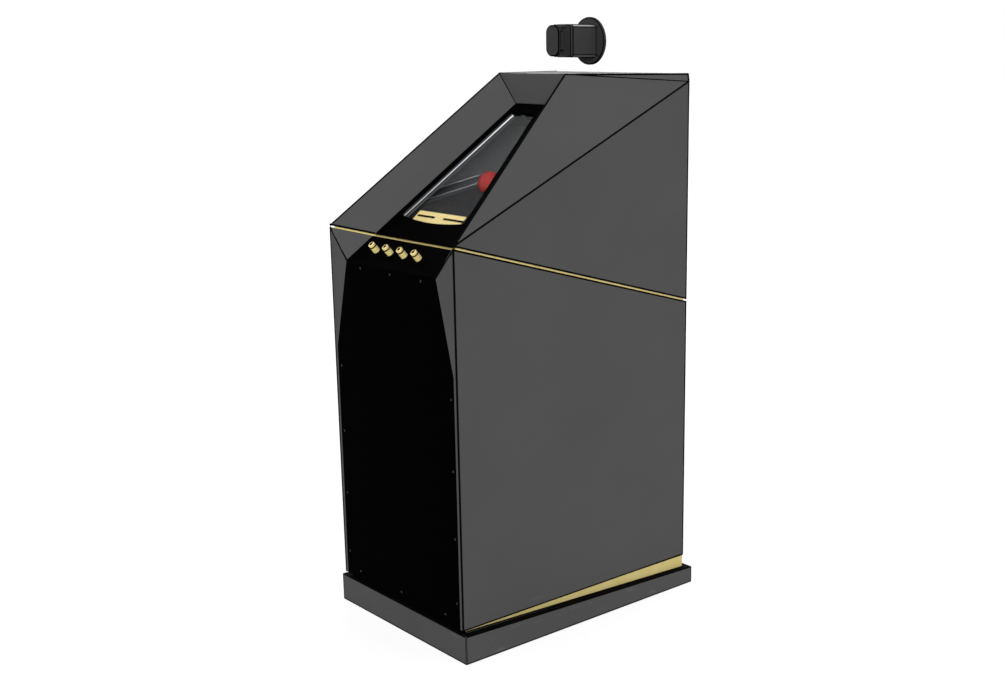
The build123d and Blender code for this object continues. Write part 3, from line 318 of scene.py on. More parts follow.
# ---- Screws of the front panel ----
# Fourteen black-passivated countersunk M4 screws with a hexagon socket, sunk just below the
# panel's face, where each catches a small glint.
SCREW_HEAD = 0.0033        # radius of the head
SCREW_DEPTH = 0.0016
SCREW_SINK = 0.0006
SOCKET = 0.0014            # radius of the socket's corners
SIDE_ROW_X = 0.258
SIDE_ROW_Z = (0.159, 0.336, 0.519, 0.708)
HEAD_ROW_Z = 0.995
HEAD_ROW_X = 0.14
FOOT_ROW_Z = 0.112
FOOT_ROW_X = 0.205
SCREW_BLACK = "26272a"
SCREW_RUBBED = "5c5e62"

black_screw_steel = new_material("black_passivated_steel")
place = add(black_screw_steel, "ShaderNodeTexCoord", {})
rubbed = add(black_screw_steel, "ShaderNodeTexNoise", {"Scale": 900.0, "Detail": 2.0},
             [("Vector", place.outputs["Object"])])
tone = add(black_screw_steel, "ShaderNodeMix",
           {"data_type": "RGBA", 6: linear(SCREW_BLACK), 7: linear(SCREW_RUBBED)},
           [(0, rubbed.outputs["Fac"])])
shader = add(black_screw_steel, "ShaderNodeBsdfPrincipled", {"Metallic": 0.8, "Roughness": 0.4},
             [("Base Color", tone.outputs[2])])
add(black_screw_steel, "ShaderNodeOutputMaterial", {}, [("Surface", shader.outputs["BSDF"])])


def socket_screw(shape, spot, radius, depth, socket, sides=20):
    """A round head with a hexagon socket, its face at the spot's plane and its hem below."""
    first = len(shape.verts)
    inner = bmesh.ops.create_circle(shape, cap_ends=True, segments=6, radius=socket)["verts"]
    bmesh.ops.translate(shape, verts=inner, vec=(0, 0, -depth * 0.6))
    walls = bmesh.ops.extrude_edge_only(
        shape, edges=[e for e in shape.edges if all(v in inner for v in e.verts)])
    rim = [v for v in walls["geom"] if isinstance(v, bmesh.types.BMVert)]
    bmesh.ops.translate(shape, verts=rim, vec=(0, 0, depth * 0.6))
    outer = bmesh.ops.create_circle(shape, cap_ends=False, segments=sides, radius=radius)["verts"]
    rim_edges = [e for e in shape.edges if all(v in rim for v in e.verts)]
    outer_edges = [e for e in shape.edges if all(v in outer for v in e.verts)]
    bmesh.ops.bridge_loops(shape, edges=rim_edges + outer_edges)
    skirt = bmesh.ops.extrude_edge_only(shape, edges=outer_edges)
    hem = [v for v in skirt["geom"] if isinstance(v, bmesh.types.BMVert)]
    bmesh.ops.translate(shape, verts=hem, vec=(0, 0, -depth))
    bmesh.ops.contextual_create(
        shape, geom=[e for e in shape.edges if all(v in hem for v in e.verts)])
    shape.verts.ensure_lookup_table()
    bmesh.ops.transform(shape, matrix=spot, verts=shape.verts[first:])


facing_front = Matrix.Rotation(radians(90), 4, "X")
panel_screws = bmesh.new()
screw_spots = [(side * SIDE_ROW_X, z) for side in (-1, 1) for z in SIDE_ROW_Z]
screw_spots += [(step * HEAD_ROW_X, HEAD_ROW_Z) for step in (-1, 0, 1)]
screw_spots += [(step * FOOT_ROW_X, FOOT_ROW_Z) for step in (-1, 0, 1)]
for x, z in screw_spots:
    spot = Matrix.Translation((x, FRONT_Y + SCREW_SINK, z)) @ facing_front
    socket_screw(panel_screws, spot, SCREW_HEAD, SCREW_DEPTH, SOCKET)
screws = piece("panel_screw_heads", panel_screws, black_screw_steel, "cabinet")
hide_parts("front_panel_screws")

# ---- Brass riser ----
# Sheet brass, brushed and left unlacquered. It has a pale straw colour, a fine
# grain and a soft patchiness where it has been handled.
BRASS_BRIGHT = "ecdc9c"
BRASS_DULL = "d9c878"
BRUSH_GRAIN = 0.0012       # drawn coarser than the real 0.2 mm scratches to show
brass = new_material("brushed_brass")
place = add(brass, "ShaderNodeTexCoord", {})
handled = add(brass, "ShaderNodeTexNoise", {"Scale": 26.0, "Detail": 4.0},
              [("Vector", place.outputs["Object"])])
tone = add(brass, "ShaderNodeMix",
           {"data_type": "RGBA", 6: linear(BRASS_BRIGHT), 7: linear(BRASS_DULL)},
           [(0, handled.outputs["Fac"])])
along_grain = add(brass, "ShaderNodeMapping", {"Scale": (0.06, 1.0, 1.0)},
                  [("Vector", place.outputs["Object"])])
grain = add(brass, "ShaderNodeTexNoise", {"Scale": 1 / BRUSH_GRAIN, "Detail": 2.0},
            [("Vector", along_grain.outputs["Vector"])])
sheen = add(brass, "ShaderNodeMapRange", {"To Min": 0.42, "To Max": 0.62},
            [("Value", grain.outputs["Fac"])])
relief = add(brass, "ShaderNodeBump", {"Strength": 0.12, "Distance": 0.0001},
             [("Height", grain.outputs["Fac"])])
shader = add(brass, "ShaderNodeBsdfPrincipled", {"Metallic": 0.45, "Specular IOR Level": 0.3},
             [("Base Color", tone.outputs[2]), ("Roughness", sheen.outputs["Result"]),
              ("Normal", relief.outputs["Normal"])])
add(brass, "ShaderNodeOutputMaterial", {}, [("Surface", shader.outputs["BSDF"])])
finish_as(brass, "brass_riser")

# ---- Lighter copy of the brass: knobs, seam strip and plate ----
# The riser's brass painted lighter, as a lit copy for parts that sit in shade: the recessed seam
# strip, the knobs and the plate. It has soft patches and no grain.
BRASS_PAINTED_LIGHTER = "fff3b2"
BRASS_PAINTED_LIGHTER_WARM = "ffdf78"
lit_copy_brass = new_material("brass_painted_lighter_copy")
place = add(lit_copy_brass, "ShaderNodeTexCoord", {})
bands = add(lit_copy_brass, "ShaderNodeTexNoise", {"Scale": 260.0, "Detail": 3.0},
            [("Vector", place.outputs["Object"])])
tone = add(lit_copy_brass, "ShaderNodeMix",
           {"data_type": "RGBA", 6: linear(BRASS_PAINTED_LIGHTER), 7: linear(BRASS_PAINTED_LIGHTER_WARM)},
           [(0, bands.outputs["Fac"])])
sheen = add(lit_copy_brass, "ShaderNodeMapRange", {"To Min": 0.3, "To Max": 0.5},
            [("Value", bands.outputs["Fac"])])
shader = add(lit_copy_brass, "ShaderNodeBsdfPrincipled",
             {"Metallic": 0.15, "Specular IOR Level": 0.6},
             [("Base Color", tone.outputs[2]), ("Roughness", sheen.outputs["Result"])])
add(lit_copy_brass, "ShaderNodeOutputMaterial", {}, [("Surface", shader.outputs["BSDF"])])
finish_as(lit_copy_brass, "knob_1", "knob_2", "knob_3", "knob_4", "brass_seam_strip", "brass_plate")

# ---- Grip rings and index marks of the knobs ----
# A black nitrile band covers each knob's groove and another its foot. A black resin inlay fills
# the middle of its end, and its small lobe shows where the knob points.
SLOPE = atan2(DECK_HEAD_Z - DECK_FOOT_Z, ROOF_FRONT_Y - FRONT_Y)
UP_SLOPE = Vector((0, cos(SLOPE), sin(SLOPE)))
DECK_OUT = Vector((0, -sin(SLOPE), cos(SLOPE)))
DECK_FOOT = Vector((0, FRONT_Y, DECK_FOOT_Z))
KNOB_ALONG = 0.046         # up the deck from its foot
KNOB_PITCH = 0.065
KNOBS_MIDDLE = -0.0085     # the row stands a little to the left
LOBE_UP = 0.0058
KNOB_DISCS = (             # place up the deck, height of the face, radius, thickness, sides
    (0, 0.0236, 0.0100, 0.0032, 32),
    (0, 0.0038, 0.0101, 0.0028, 32),
    (0, 0.0304, 0.0046, 0.0010, 24),
    (LOBE_UP, 0.0303, 0.0017, 0.0010, 16),
)


def on_deck(along, out=0.0, across=0.0):
    """A matrix on the sloping deck, its Z axis square to the surface."""
    spot = DECK_FOOT + UP_SLOPE * along + DECK_OUT * out + Vector((across, 0, 0))
    return Matrix.Translation(spot) @ Matrix.Rotation(SLOPE, 4, "X")


def disc(shape, spot, radius, thickness, sides):
    """A short round plug whose upper face is at the spot."""
    bmesh.ops.create_cone(shape, cap_ends=True, segments=sides, radius1=radius, radius2=radius,
                          depth=thickness, matrix=spot @ Matrix.Translation((0, 0, -thickness / 2)))


for number in range(4):
    across = KNOBS_MIDDLE + (number - 1.5) * KNOB_PITCH
    trim = bmesh.new()
    for up, out, radius, thickness, sides in KNOB_DISCS:
        disc(trim, on_deck(KNOB_ALONG + up, out, across), radius, thickness, sides)
    piece(f"knob_trim_{number + 1}", trim, black_pvc, f"knob_{number + 1}")

# ---- Window glass and clear post ----
# A 4 mm float glass pane clamped behind the bezel, and the overhead unit's polished acrylic
# post, which looks the same. Both are nearly clear, with a faint smear.
GLASS_TINT = "dfe8e6"
GLASS_ALPHA = 0.012        # low, because a thick pane would haze over what is behind it
glass = new_material("clear_float_glass")
place = add(glass, "ShaderNodeTexCoord", {})
smears = add(glass, "ShaderNodeTexNoise", {"Scale": 12.0, "Detail": 3.0},
             [("Vector", place.outputs["Object"])])
polish = add(glass, "ShaderNodeMapRange", {"To Min": 0.02, "To Max": 0.10},
             [("Value", smears.outputs["Fac"])])
shader = add(glass, "ShaderNodeBsdfPrincipled",
             {"Base Color": linear(GLASS_TINT), "IOR": 1.5, "Alpha": GLASS_ALPHA,
              "Specular IOR Level": 0.1, "Transmission Weight": 1.0},
             [("Roughness", polish.outputs["Result"])])
add(glass, "ShaderNodeOutputMaterial", {}, [("Surface", shader.outputs["BSDF"])])
finish_as(glass, "window_glass", "mast_post")

# ---- Dial sheets and spacers, and black nylon parts ----
# The sector sheet with its spacers and the board behind it are dark acrylic. They carry a painted
# glow, a faint even emission that lights them where the recess behind the window shades them, so
# the hand reads against them. The fan, the inlet with its switch and the loudspeakers are moulded
# in a plastic with the same even skin, but black and unlit.
DIAL_PAINTED_GLOW = "f8fcff"
SHEET_TONES = {            # light and dark tones, roughness, painted glow and nodes
    "dark_acrylic_dial_sheet_painted_glow": (
        "414446", "3b3e40", 0.6, 0.036, ("dial_sector", "window_spacers")),
    "dark_acrylic_backboard_painted_glow": (
        "28292b", "242527", 0.75, 0.014, ("dial_backboard",)),
    "moulded_black_nylon": (
        "232326", "161618", 0.55, 0.0,
        ("fan_frame", "fan_rotor", "inlet_module", "rocker_switch", "speakers")),
}
for name, (light, dark, roughness, glow, members) in SHEET_TONES.items():
    sheet = new_material(name)
    place = add(sheet, "ShaderNodeTexCoord", {})
    cloud = add(sheet, "ShaderNodeTexNoise", {"Scale": 18.0, "Detail": 4.0},
                [("Vector", place.outputs["Object"])])
    tone = add(sheet, "ShaderNodeMix",
               {"data_type": "RGBA", 6: linear(light), 7: linear(dark)},
               [(0, cloud.outputs["Fac"])])
    fine = add(sheet, "ShaderNodeTexNoise", {"Scale": 700.0, "Detail": 1.0},
               [("Vector", place.outputs["Object"])])
    relief = add(sheet, "ShaderNodeBump", {"Strength": 0.2, "Distance": 0.0001},
                 [("Height", fine.outputs["Fac"])])
    # The emission is painted glow, lighting the dial sheets evenly where the window's recess shades
    # them.
    shader = add(sheet, "ShaderNodeBsdfPrincipled",
                 {"Roughness": roughness, "IOR": 1.5, "Specular IOR Level": 0.04,
                  "Emission Color": linear(DIAL_PAINTED_GLOW), "Emission Strength": glow},
                 [("Base Color", tone.outputs[2]), ("Normal", relief.outputs["Normal"])])
    add(sheet, "ShaderNodeOutputMaterial", {}, [("Surface", shader.outputs["BSDF"])])
    finish_as(sheet, *members)

# ---- Head of the dial sheet ----
# A strip of the same dark acrylic with the painted glow, cut from the sheet's offcut. It closes
# the gap above the sheet, behind the bezel.
SHEET_HEAD_HALF = 0.235
SHEET_HEAD_ALONG = 0.651
SHEET_HEAD_WIDTH = 0.034
SHEET_HEAD_TOP = 0.083     # depths below the deck
SHEET_HEAD_UNDERSIDE = 0.0855


def deck_bar(shape, start, end, width, top, bottom):
    """A straight bar below the deck, between two (across, along) points."""
    ends = [DECK_FOOT + UP_SLOPE * along + Vector((across, 0, 0)) for across, along in (start, end)]
    run = ends[1] - ends[0]
    middle = (ends[0] + ends[1]) / 2 - DECK_OUT * (top + bottom) / 2
    sideways = run.cross(DECK_OUT).normalized() * width
    frame_of_bar = Matrix((sideways, run, DECK_OUT * (bottom - top))).transposed().to_4x4()
    bmesh.ops.create_cube(shape, size=1, matrix=Matrix.Translation(middle) @ frame_of_bar)


dial_head = bmesh.new()
deck_bar(dial_head, (-SHEET_HEAD_HALF, SHEET_HEAD_ALONG), (SHEET_HEAD_HALF, SHEET_HEAD_ALONG),
         SHEET_HEAD_WIDTH, SHEET_HEAD_TOP, SHEET_HEAD_UNDERSIDE)
piece("dial_sheet_head", dial_head, nodes["dial_sector"].data.materials[0], "cabinet")

# ---- Liners in the slots of the brass plate ----
# A black PVC strip, cut from flat stock with eased edges, is pressed into each slot. It covers
# the slot's raw edges.
SLOTS = ((-0.058, 0.078), (0.064, 0.086))           # middle across, and length
SLOT_ALONG = 0.200
LINER_WIDTH = 0.0066
LINER_TOP = 0.0132         # depths below the deck
LINER_UNDERSIDE = 0.0142
LINER_EASED = 0.0002
slot_liners = bmesh.new()
for middle, length in SLOTS:
    deck_bar(slot_liners, (middle - length / 2, SLOT_ALONG), (middle + length / 2, SLOT_ALONG),
             LINER_WIDTH, LINER_TOP, LINER_UNDERSIDE)
bmesh.ops.bevel(slot_liners, geom=slot_liners.edges[:], offset=LINER_EASED, segments=1,
                profile=0.5, affect="EDGES", material=-1)
piece("plate_slot_liners", slot_liners, black_pvc, "cabinet")

# ---- Beat hand ----
# A tapered blade of dark anodised aluminium, pinned to its shaft. The dye gives a cool grey
# with a soft cloud.
ANODISED_GREY = "505457"
ANODISED_DARK = "484c4e"
anodised = new_material("dark_anodised_aluminium")
place = add(anodised, "ShaderNodeTexCoord", {})
cloud = add(anodised, "ShaderNodeTexNoise", {"Scale": 30.0, "Detail": 3.0},
            [("Vector", place.outputs["Object"])])
tone = add(anodised, "ShaderNodeMix",
           {"data_type": "RGBA", 6: linear(ANODISED_GREY), 7: linear(ANODISED_DARK)},
           [(0, cloud.outputs["Fac"])])
sheen = add(anodised, "ShaderNodeMapRange", {"To Min": 0.38, "To Max": 0.55},
            [("Value", cloud.outputs["Fac"])])
shader = add(anodised, "ShaderNodeBsdfPrincipled", {"Metallic": 0.35},
             [("Base Color", tone.outputs[2]), ("Roughness", sheen.outputs["Result"])])
add(anodised, "ShaderNodeOutputMaterial", {}, [("Surface", shader.outputs["BSDF"])])
finish_as(anodised, "beat_hand")

# ---- Light strips and their channels ----
# Extruded opal acrylic strips with a row of lamps behind, glowing an even white, each in a
# slim grey anodised channel. A thin anodised liner covers the window's wall above it.
OPAL_WHITE = "f4f5f5"
LAMP_WHITE = "ffffff"
GLOW_LOW = 0.7
GLOW_HIGH = 0.95
WINDOW_LOW = 0.184         # ends of the window's long sides, up the slope
WINDOW_HIGH = 0.594
WINDOW_HALF_LOW = 0.1387   # half its width there
WINDOW_HALF_HIGH = 0.0501
CHANNEL_BARS = (           # place outside the window's edge at its low and high ends, width,
    (-0.0004, -0.0004, 0.0008, 0.0008, 0.0060),     # and depths of the top and the underside
    (0.0165, 0.0125, 0.0050, 0.0100, 0.0160),
    (0.0110, 0.0064, 0.0010, 0.0130, 0.0160),
    (0.0035, -0.0010, 0.0140, 0.0150, 0.0162),
)
CHANNEL_EASED = 0.00015
opal = new_material("extruded_opal_acrylic")
place = add(opal, "ShaderNodeTexCoord", {})
lamps = add(opal, "ShaderNodeTexNoise", {"Scale": 45.0, "Detail": 1.0},
            [("Vector", place.outputs["Object"])])
glow = add(opal, "ShaderNodeMapRange", {"To Min": GLOW_LOW, "To Max": GLOW_HIGH},
           [("Value", lamps.outputs["Fac"])])
shader = add(opal, "ShaderNodeBsdfPrincipled",
             {"Base Color": linear(OPAL_WHITE), "Roughness": 0.45,
              "Emission Color": linear(LAMP_WHITE)},
             [("Emission Strength", glow.outputs["Result"])])
add(opal, "ShaderNodeOutputMaterial", {}, [("Surface", shader.outputs["BSDF"])])
finish_as(opal, "light_strips")

channels = bmesh.new()
for side in (-1, 1):
    for low, high, width, top, bottom in CHANNEL_BARS:
        deck_bar(channels,
                 (side * (WINDOW_HALF_LOW + low), WINDOW_LOW),
                 (side * (WINDOW_HALF_HIGH + high), WINDOW_HIGH),
                 width, top, bottom)
bmesh.ops.bevel(channels, geom=channels.edges[:], offset=CHANNEL_EASED, segments=1, profile=0.5,
                affect="EDGES", material=-1)
piece("light_channels", channels, anodised, "cabinet")

# ---- Steel parts ----
# Zinc-plated and turned steel: hinges, lock, shaft, potentiometers and the cases of the motor
# and the power supply. Bluish grey, with the slight patchiness of plating.
ZINC_LIGHT = "c3c6c9"
ZINC_DARK = "a3a6aa"
zinc_steel = new_material("zinc_plated_steel")
place = add(zinc_steel, "ShaderNodeTexCoord", {})
spangle = add(zinc_steel, "ShaderNodeTexNoise", {"Scale": 140.0, "Detail": 3.0},
              [("Vector", place.outputs["Object"])])
tone = add(zinc_steel, "ShaderNodeMix",
           {"data_type": "RGBA", 6: linear(ZINC_LIGHT), 7: linear(ZINC_DARK)},
           [(0, spangle.outputs["Fac"])])
sheen = add(zinc_steel, "ShaderNodeMapRange", {"To Min": 0.25, "To Max": 0.42},
            [("Value", spangle.outputs["Fac"])])
shader = add(zinc_steel, "ShaderNodeBsdfPrincipled", {"Metallic": 1.0},
             [("Base Color", tone.outputs[2]), ("Roughness", sheen.outputs["Result"])])
add(zinc_steel, "ShaderNodeOutputMaterial", {}, [("Surface", shader.outputs["BSDF"])])
finish_as(zinc_steel, "hinge_fixed_leaves", "hinge_moving_leaves", "hinge_pins", "lock_barrel",
          "lock_plug", "hand_shaft", "gearmotor", "potentiometers", "power_supply")

# ---- Highlight lines on the edges of the hand ----
# The blade's two long edges carry a painted highlight: a thin pale cord along each edge, broken
# into brighter and duller stretches by noise.
HAND_ALONG = 0.385         # the shaft, up the deck
HAND_DEPTH = -0.061
REST_TURN = radians(180 + 27.7)
EDGE_LINE = 0.0008         # radius of the line
EDGE_UP = 0.0002
EDGE_RUNS = ((0.036, 0.2255, -0.0152), (0.050, 0.1955, -0.0523))    # along the blade, and off it
EDGE_HIGHLIGHT_WHITE = "ffffff"
EDGE_HIGHLIGHT_GREY = "8a8e90"
hand_lines = bmesh.new()
hand_place = on_deck(HAND_ALONG, HAND_DEPTH) @ Matrix.Rotation(REST_TURN, 4, "Z")
for near, far, off in EDGE_RUNS:
    cord_between(hand_lines, hand_place @ Vector((near, off, EDGE_UP)),
                 hand_place @ Vector((far, off, EDGE_UP)), EDGE_LINE, 6)
# Pale material of the painted edge highlights.
edge_highlight = new_material("painted_edge_highlight")
place = add(edge_highlight, "ShaderNodeTexCoord", {})
highlight_breaks = add(edge_highlight, "ShaderNodeTexNoise", {"Scale": 160.0, "Detail": 1.0},
           [("Vector", place.outputs["Object"])])
tone = add(edge_highlight, "ShaderNodeMix",
           {"data_type": "RGBA", 6: linear(EDGE_HIGHLIGHT_WHITE), 7: linear(EDGE_HIGHLIGHT_GREY)},
           [(0, highlight_breaks.outputs["Fac"])])
shader = add(edge_highlight, "ShaderNodeBsdfPrincipled", {"Roughness": 0.4},
             [("Base Color", tone.outputs[2])])
add(edge_highlight, "ShaderNodeOutputMaterial", {}, [("Surface", shader.outputs["BSDF"])])
piece("hand_edge_highlight_lines", hand_lines, edge_highlight, "beat_hand")

# ---- Red dome ----
# A solid cast acrylic dome over the hand's hub. It is deep red right through and polished,
# so it takes a small soft highlight.
DOME_RED = "b53331"
DOME_DEEP = "a02c2d"
red_acrylic = new_material("cast_red_acrylic")
place = add(red_acrylic, "ShaderNodeTexCoord", {})
depth_tone = add(red_acrylic, "ShaderNodeTexNoise", {"Scale": 22.0, "Detail": 2.0},
                 [("Vector", place.outputs["Object"])])
tone = add(red_acrylic, "ShaderNodeMix",
           {"data_type": "RGBA", 6: linear(DOME_RED), 7: linear(DOME_DEEP)},
           [(0, depth_tone.outputs["Fac"])])
polish = add(red_acrylic, "ShaderNodeMapRange", {"To Min": 0.12, "To Max": 0.3},
             [("Value", depth_tone.outputs["Fac"])])
shader = add(red_acrylic, "ShaderNodeBsdfPrincipled",
             {"IOR": 1.49, "Subsurface Weight": 0.1, "Subsurface Scale": 0.005,
              "Specular IOR Level": 0.12},
             [("Base Color", tone.outputs[2]), ("Roughness", polish.outputs["Result"])])
add(red_acrylic, "ShaderNodeOutputMaterial", {}, [("Surface", shader.outputs["BSDF"])])
finish_as(red_acrylic, "beat_dome")

# ---- Overhead unit: rose, swivel box and head ----
# Folded and turned aluminium, powder-coated dark charcoal with a fine sandy texture. The
# loudspeaker grilles and the amplifier's case have the same coat.
CHARCOAL = "3c3c3d"
CHARCOAL_DARK = "343435"
charcoal_coat = new_material("charcoal_powder_coat")
place = add(charcoal_coat, "ShaderNodeTexCoord", {})
cloud = add(charcoal_coat, "ShaderNodeTexNoise", {"Scale": 40.0, "Detail": 3.0},
            [("Vector", place.outputs["Object"])])
tone = add(charcoal_coat, "ShaderNodeMix",
           {"data_type": "RGBA", 6: linear(CHARCOAL), 7: linear(CHARCOAL_DARK)},
           [(0, cloud.outputs["Fac"])])
sand = add(charcoal_coat, "ShaderNodeTexNoise", {"Scale": 600.0, "Detail": 2.0},
           [("Vector", place.outputs["Object"])])
relief = add(charcoal_coat, "ShaderNodeBump", {"Strength": 0.35, "Distance": 0.0002},
             [("Height", sand.outputs["Fac"])])
sheen = add(charcoal_coat, "ShaderNodeMapRange", {"To Min": 0.5, "To Max": 0.7},
            [("Value", sand.outputs["Fac"])])
shader = add(charcoal_coat, "ShaderNodeBsdfPrincipled", {"IOR": 1.5, "Specular IOR Level": 0.15},
             [("Base Color", tone.outputs[2]), ("Roughness", sheen.outputs["Result"]),
              ("Normal", relief.outputs["Normal"])])
add(charcoal_coat, "ShaderNodeOutputMaterial", {}, [("Surface", shader.outputs["BSDF"])])
finish_as(charcoal_coat, "mast_rose", "swivel_box", "sensor_head", "speaker_grilles",
          "amplifier")

# ---- Black seams of the overhead unit ----
# Thin black gaskets round the rose, along the folds of the box, round its collar and round
# the head, where the coated parts meet.
UNIT_Z = 1.588
ROSE_Y = 0.279
BOX_FRONT_Y = 0.1926
COLLAR_FRONT_Y = 0.1836
HEAD_BACK_Y = 0.152
HEAD_FRONT_Y = 0.146
NECK_FRONT_Y = 0.1744
NECK_CORNER = (0.0106, 0.0256)
GASKET = 0.0015            # radius of the cord
ROSE_CORDS = ((0.0010, 0.0640, 0.0020), (0.0066, 0.0645, 0.0015))   # behind the face, and radii
FOLDS = ((0.0327, 0.0380), (0.0270, 0.0437))        # x and z of the folds along the box
BOX_GASKETS = (            # y, half width, half height, corner, and steps round the corner
    (ROSE_Y - 0.0014, 0.0324, 0.0434, 0.006, 1),
    (BOX_FRONT_Y, 0.0326, 0.0436, 0.006, 1),
    (COLLAR_FRONT_Y + 0.0004, 0.0306, 0.0436, 0.008, 6),
)
HEAD_GASKETS = (
    (HEAD_BACK_Y - 0.0002, 0.0266, 0.0411, 0.021, 6),
    (HEAD_FRONT_Y + 0.0004, 0.0266, 0.0411, 0.021, 6),
    (HEAD_FRONT_Y - 0.0008, 0.0257, 0.0402, 0.020, 6),
)


def hoop(shape, spot, radius, thickness, sides=64, around=8):
    """A round ring of round section."""
    first = len(shape.verts)
    ring = bmesh.ops.create_circle(shape, cap_ends=False, segments=around, radius=thickness,
                                   matrix=Matrix.Rotation(radians(90), 4, "X"))
    bmesh.ops.translate(shape, verts=ring["verts"], vec=(radius, 0, 0))
    section = [e for e in shape.edges if all(v in ring["verts"] for v in e.verts)]
    bmesh.ops.spin(shape, geom=ring["verts"] + section, cent=(0, 0, 0), axis=(0, 0, 1),
                   angle=2 * pi, steps=sides, use_merge=True)
    shape.verts.ensure_lookup_table()
    bmesh.ops.transform(shape, matrix=spot, verts=shape.verts[first:])


def gasket(shape, y, half_width, half_height, corner, segments):
    """A cord round a rounded rectangle that faces the front."""
    outline = bmesh.new()
    sheet = bmesh.ops.create_grid(outline, x_segments=1, y_segments=1, size=1)
    bmesh.ops.scale(outline, vec=(half_width, half_height, 1), verts=sheet["verts"])
    bmesh.ops.bevel(outline, geom=outline.verts[:], offset=corner, segments=segments,
                    profile=0.5, affect="VERTICES", material=-1)
    for edge in outline.edges:
        start, end = (Vector((v.co.x, y, UNIT_Z + v.co.y)) for v in edge.verts)
        cord_between(shape, start, end, GASKET, 6)
    outline.free()


rose_seam = bmesh.new()
for behind, radius, thickness in ROSE_CORDS:
    spot = Matrix.Translation((0, ROSE_Y + behind, UNIT_Z)) @ facing_front
    hoop(rose_seam, spot, radius, thickness)
piece("rose_seam", rose_seam, black_pvc, "cabinet")

box_seams = bmesh.new()
for x, z in FOLDS:
    for side in (-1, 1):
        for end in (-1, 1):
            cord_between(box_seams, (side * x, ROSE_Y - 0.0012, UNIT_Z + end * z),
                         (side * x, BOX_FRONT_Y, UNIT_Z + end * z), GASKET, 6)
for outline in BOX_GASKETS:
    gasket(box_seams, *outline)
piece("box_seams", box_seams, black_pvc, "swivel_box")

head_seams = bmesh.new()
for outline in HEAD_GASKETS:
    gasket(head_seams, *outline)
for side in (-1, 1):
    for end in (-1, 1):
        x, z = side * NECK_CORNER[0], UNIT_Z + end * NECK_CORNER[1]
        cord_between(head_seams, (x, HEAD_BACK_Y, z), (x, NECK_FRONT_Y, z), GASKET, 6)
piece("head_seams", head_seams, black_pvc, "sensor_head")

# ---- Painted light on the box's chamfers ----
# Thin light grey strips lie on the four long chamfers of the box: painted light, since the chamfers
# catch more light than the faces beside them. They show fine streaks.
CHAMFER_X = 0.0300
CHAMFER_Z = 0.0410
CHAMFER_WIDTH = 0.0058
CHAMFER_LENGTH = ROSE_Y - BOX_FRONT_Y - 0.005
CHAMFER_THICK = 0.0008
CHAMFER_EASED = 0.0001
CHAMFER_PAINTED_LIGHT = "b8b9ba"
CHAMFER_PAINTED_LIGHT_STREAK = "97989a"
# Light grey that stands in for the light the chamfers catch.
chamfer_light_paint = new_material("chamfer_painted_light_grey")
place = add(chamfer_light_paint, "ShaderNodeTexCoord", {})
marks_space = add(chamfer_light_paint, "ShaderNodeMapping", {"Scale": (1.0, 0.1, 1.0)},
                  [("Vector", place.outputs["Object"])])
marks = add(chamfer_light_paint, "ShaderNodeTexNoise", {"Scale": 500.0, "Detail": 2.0},
            [("Vector", marks_space.outputs["Vector"])])
tone = add(chamfer_light_paint, "ShaderNodeMix",
           {"data_type": "RGBA", 6: linear(CHAMFER_PAINTED_LIGHT), 7: linear(CHAMFER_PAINTED_LIGHT_STREAK)},
           [(0, marks.outputs["Fac"])])
sheen = add(chamfer_light_paint, "ShaderNodeMapRange", {"To Min": 0.35, "To Max": 0.5},
            [("Value", marks.outputs["Fac"])])
shader = add(chamfer_light_paint, "ShaderNodeBsdfPrincipled", {"Metallic": 0.6},
             [("Base Color", tone.outputs[2]), ("Roughness", sheen.outputs["Result"])])
add(chamfer_light_paint, "ShaderNodeOutputMaterial", {}, [("Surface", shader.outputs["BSDF"])])
strips = bmesh.new()
for side in (-1, 1):
    for end in (-1, 1):
        middle = Vector((side * CHAMFER_X, (ROSE_Y + BOX_FRONT_Y) / 2, UNIT_Z + end * CHAMFER_Z))
        lean = Matrix.Rotation(side * end * radians(45), 4, "Y")
        size = Matrix.Diagonal((CHAMFER_WIDTH, CHAMFER_LENGTH, CHAMFER_THICK, 1))
        bmesh.ops.create_cube(strips, size=1, matrix=Matrix.Translation(middle) @ lean @ size)
bmesh.ops.bevel(strips, geom=strips.edges[:], offset=CHAMFER_EASED, segments=1, profile=0.5,
                affect="EDGES", material=-1)
piece("box_chamfer_painted_light", strips, chamfer_light_paint, "swivel_box")

# ---- Fixing screws of the rose, hinges, grilles and inlet ----
# Low round socket heads in zinc-plated and black steel. They stand about a millimetre proud
# of the part that each one holds.
ROSE_SCREW = (0.0032, 0.0020, 0.0014)   # radius of the head, its depth, radius of the socket
ROSE_SCREW_OFF = 0.040
ROSE_SCREW_Y = ROSE_Y - 0.0016
LEAF_SCREW = (0.0034, 0.0016, 0.0014)
LEAF_SCREW_Y = 0.4012
LEAF_SCREW_STEP = 0.020
FIXED_LEAF_X = 0.210
MOVING_LEAF_X = 0.172
HINGES_Z = (0.300, 0.660)
GRILLE_SCREW = (0.0026, 0.0016, 0.0011)
GRILLE_SCREW_Y = 0.4007
GRILLE_SCREW_REACH = 0.0605             # from a loudspeaker's middle
SPEAKERS_X = (-0.150, 0.150)
SPEAKERS_Z = 1.150
INLET_SCREW = (0.0024, 0.0014, 0.0010)
INLET_SCREW_Y = 0.4020
INLET_SCREWS_X = (0.1212, 0.1788)
INLET_Z = 0.150
facing_back = Matrix.Rotation(radians(-90), 4, "X")
rose_screws = bmesh.new()
for x in (-ROSE_SCREW_OFF, ROSE_SCREW_OFF):
    for z in (-ROSE_SCREW_OFF, ROSE_SCREW_OFF):
        spot = Matrix.Translation((x, ROSE_SCREW_Y, UNIT_Z + z)) @ facing_front
        socket_screw(rose_screws, spot, *ROSE_SCREW)
piece("rose_screws", rose_screws, black_screw_steel, "cabinet")

